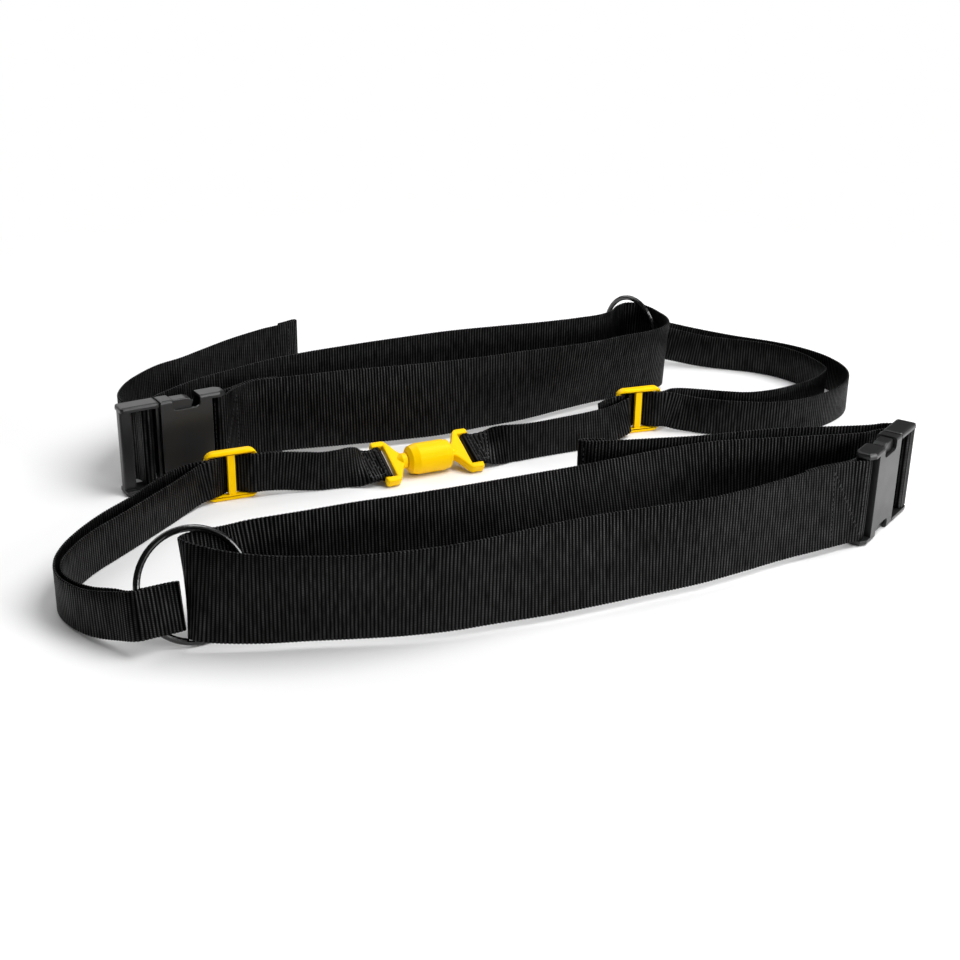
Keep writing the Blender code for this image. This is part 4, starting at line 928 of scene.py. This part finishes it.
def dress_tether(side, strap, slider_at, ring_at, bends, settings):
    """One tether's webbing in three stretches, which meet in its slider and ring, and stitches."""
    webbing = settings.belt_webbing
    size = (TETHER_WIDTH, TETHER_THICKNESS)
    curve = strap.curve(webbing.rib_pitch / webbing.samples)
    material = webbing_material(f"black_nylon_webbing_{side}", webbing)
    thread = thread_material(f"black_polyester_thread_{side}")
    tether, slider, hook = f"{side}_tether", f"{side}_slider", f"{side}_release_hook"
    whole = curve[0][-1]
    crossing = nearest_mark(curve, slider_at, 0.0, whole * SLIDER_CUT_BEFORE)
    turning = nearest_mark(curve, ring_at, crossing, whole * RING_CUT_BEFORE)
    stretches = (("single_run", 0.0, crossing, (tether, slider), [slider, hook]),
                 ("inner_run", crossing, turning, (slider, tether), [slider]),
                 ("outer_run", turning, whole, (tether, slider), [slider]))
    for (label, start, end, bodies, rests), bend in zip(stretches, bends):
        name = f"{side}_tether_{label}"
        mesh = strip_mesh(name, curve, size, webbing, start, end)
        obj = add_stretch(name, f"{side}_tether_webbing", mesh, material, bodies, bend)
    lift = TETHER_THICKNESS / 2 * (-1 if side == "left" else 1)
    half = TETHER_WIDTH / 2 - TETHER_STITCH_INSET
    first = TETHER_SEAM_LENGTH + TETHER_STITCH_START
    second = first + TETHER_STITCH_LENGTH
    corners = [(first, -half), (first, half), (second, half), (second, -half)]
    lines = [(corners[a], corners[b]) for a, b in
             ((0, 1), (3, 2), (1, 2), (0, 3), (0, 2), (1, 3))]
    sew(f"{side}_tether_stitches", curve, lift, lines, settings.belt_stitches, thread, tether)


def white_room(name, settings):
    """The white room round the set. Black flags keep it out of the glossy pieces."""
    world = bpy.data.worlds.new(name)
    world.use_nodes = True
    tree = world.node_tree
    path = add_node(tree, "LightPath")
    mirrored = add_node(tree, "Mix", {
        "Factor": path.outputs["Is Glossy Ray"], "A": settings.surround,
        "B": settings.reflected}, data_type="FLOAT")
    strength = add_node(tree, "Mix", {
        "Factor": path.outputs["Is Camera Ray"], "A": mirrored.outputs["Result"],
        "B": 1.0}, data_type="FLOAT")
    back = tree.nodes["Background"]
    back.inputs["Color"].default_value = colour("#ffffff")
    tree.links.new(strength.outputs["Result"], back.inputs["Strength"])
    return world


def add_floor(settings):
    """A wide floor, just under what stands on it."""
    bm = bmesh.new()
    bmesh.ops.create_grid(bm, x_segments=1, y_segments=1, size=FLOOR_SIZE)
    mesh = finished_mesh("studio_floor", bm)
    floor = add_object("studio_floor", mesh, paper_material("matt_white_paper", settings))
    floor.location.z = -FLOOR_DROP


def add_softbox(name, power, size, place):
    """A square light that faces the middle of the set."""
    data = bpy.data.lights.new(name, "AREA")
    data.energy = power
    data.shape = "SQUARE"
    data.size = size
    light = bpy.data.objects.new(name, data)
    bpy.context.collection.objects.link(light)
    light.location = place
    light.rotation_euler = Vector(place).to_track_quat("Z", "Y").to_euler()


def add_camera(settings):
    """The camera, where the photo was taken from."""
    data = bpy.data.cameras.new("camera")
    data.lens = settings.lens
    data.sensor_width = SENSOR_WIDTH
    data.clip_start = NEAREST_SEEN
    camera = bpy.data.objects.new("camera", data)
    bpy.context.collection.objects.link(camera)
    turn = Matrix.Rotation(-settings.heading, 4, "Z")
    look = turn @ Matrix.Rotation(math.pi / 2 - settings.pitch, 4, "X")
    place = Matrix.Translation(plan(*CAMERA_AT, settings.height))
    camera.matrix_world = place @ look @ Matrix.Rotation(settings.roll, 4, "Z")
    bpy.context.scene.camera = camera


# Operators


class BELT_OT_front_webbing(bpy.types.Operator):
    """Make the front belt's ribbed webbing and stitches"""

    bl_idname = "belt.front_webbing"
    bl_label = "Front webbing"

    def execute(self, context):
        routes = (FRONT_OUTER_RUN, FRONT_FOLD, FRONT_INNER_RUN, FRONT_TAIL)
        dress_belt("front", FRONT_BUCKLE, routes, FRONT_CUT, FRONT_RING_BEND, context.scene)
        return {"FINISHED"}


class BELT_OT_rear_webbing(bpy.types.Operator):
    """Make the rear belt's ribbed webbing and stitches"""

    bl_idname = "belt.rear_webbing"
    bl_label = "Rear webbing"

    def execute(self, context):
        routes = (REAR_OUTER_RUN, REAR_FOLD, REAR_INNER_RUN, REAR_TAIL)
        dress_belt("rear", REAR_BUCKLE, routes, REAR_CUT, REAR_RING_BEND, context.scene)
        return {"FINISHED"}


class BELT_OT_tether_webbing(bpy.types.Operator):
    """Make both tethers' ribbed webbing and stitches"""

    bl_idname = "belt.tether_webbing"
    bl_label = "Tether webbing"

    def execute(self, context):
        dress_tether("left", left_tether_strap(), LEFT_SLIDER_AT, LEFT_CUT, LEFT_BENDS,
                     context.scene)
        dress_tether("right", right_tether_strap(), RIGHT_SLIDER_AT, RIGHT_CUT, RIGHT_BENDS,
                     context.scene)
        return {"FINISHED"}


class BELT_OT_finishes(bpy.types.Operator):
    """Give the buckles, sliders, connector and rings their finishes"""

    bl_idname = "belt.finishes"
    bl_label = "Plastic and steel"

    def execute(self, context):
        settings = context.scene.belt_plastic
        black = moulded_material("black_acetal_moulding", "#1b1b1c", settings.black_roughness,
                                 0.5, {})
        # Light goes a little way into the yellow, which warms and softens its shaded sides
        yellow = moulded_material(
            "yellow_nylon_moulding", "#ffcc00", settings.yellow_roughness, 0.35,
            {"Subsurface Weight": 0.05, "Subsurface Radius": (1.0, 0.6, 0.1),
             "Subsurface Scale": 1.0 * MM, "Specular Tint": colour("#ffd84a")})
        steel = enamelled_steel_material("black_enamelled_steel")
        for name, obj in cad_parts.items():
            if "webbing" in name:
                continue
            obj.data.materials.clear()
            finish = black if "buckle" in name else steel if "ring" in name else yellow
            obj.data.materials.append(finish)
        return {"FINISHED"}


class BELT_OT_stage(bpy.types.Operator):
    """Set up the floor, lights, surround and camera"""

    bl_idname = "belt.stage"
    bl_label = "Studio"

    def execute(self, context):
        settings = context.scene.belt_stage
        add_floor(settings)
        context.scene.world = white_room("white_room", settings)
        add_softbox("key_softbox", settings.key_power, *KEY_SOFTBOX)
        add_softbox("rear_softbox", settings.rear_power, *REAR_SOFTBOX)
        add_softbox("front_strip", settings.front_power, *FRONT_STRIP)
        add_camera(settings)
        context.scene.view_settings.view_transform = "Standard"
        return {"FINISHED"}


class BELT_PT_panel(bpy.types.Panel):
    """The steps and settings of the training belt's looks"""

    bl_label = "Training belt"
    bl_idname = "BELT_PT_panel"
    bl_space_type = "VIEW_3D"
    bl_region_type = "UI"
    bl_category = "Belt"

    def draw(self, context):
        layout = self.layout
        for step in STEPS:
            layout.operator(step.bl_idname)
        for name, group in SETTINGS.items():
            box = layout.box()
            for key in group.__annotations__:
                box.prop(getattr(context.scene, name), key)


STEPS = (BELT_OT_front_webbing, BELT_OT_rear_webbing, BELT_OT_tether_webbing, BELT_OT_finishes,
         BELT_OT_stage)
SETTINGS = {"belt_webbing": BeltWebbingSettings, "belt_plastic": BeltPlasticSettings,
            "belt_stitches": BeltStitchSettings, "belt_stage": BeltStageSettings}
CLASSES = (*SETTINGS.values(), *STEPS, BELT_PT_panel)


def register():
    for item in CLASSES:
        bpy.utils.register_class(item)
    for name, group in SETTINGS.items():
        setattr(bpy.types.Scene, name, bpy.props.PointerProperty(type=group))


def unregister():
    for name in SETTINGS:
        delattr(bpy.types.Scene, name)
    for item in reversed(CLASSES):
        bpy.utils.unregister_class(item)


def main():
    register()
    for step in STEPS:
        group, name = step.bl_idname.split(".")
        if getattr(getattr(bpy.ops, group), name)() != {"FINISHED"}:
            raise RuntimeError(f"{step.bl_label} didn't finish")


if __name__ == "__main__":
    main()
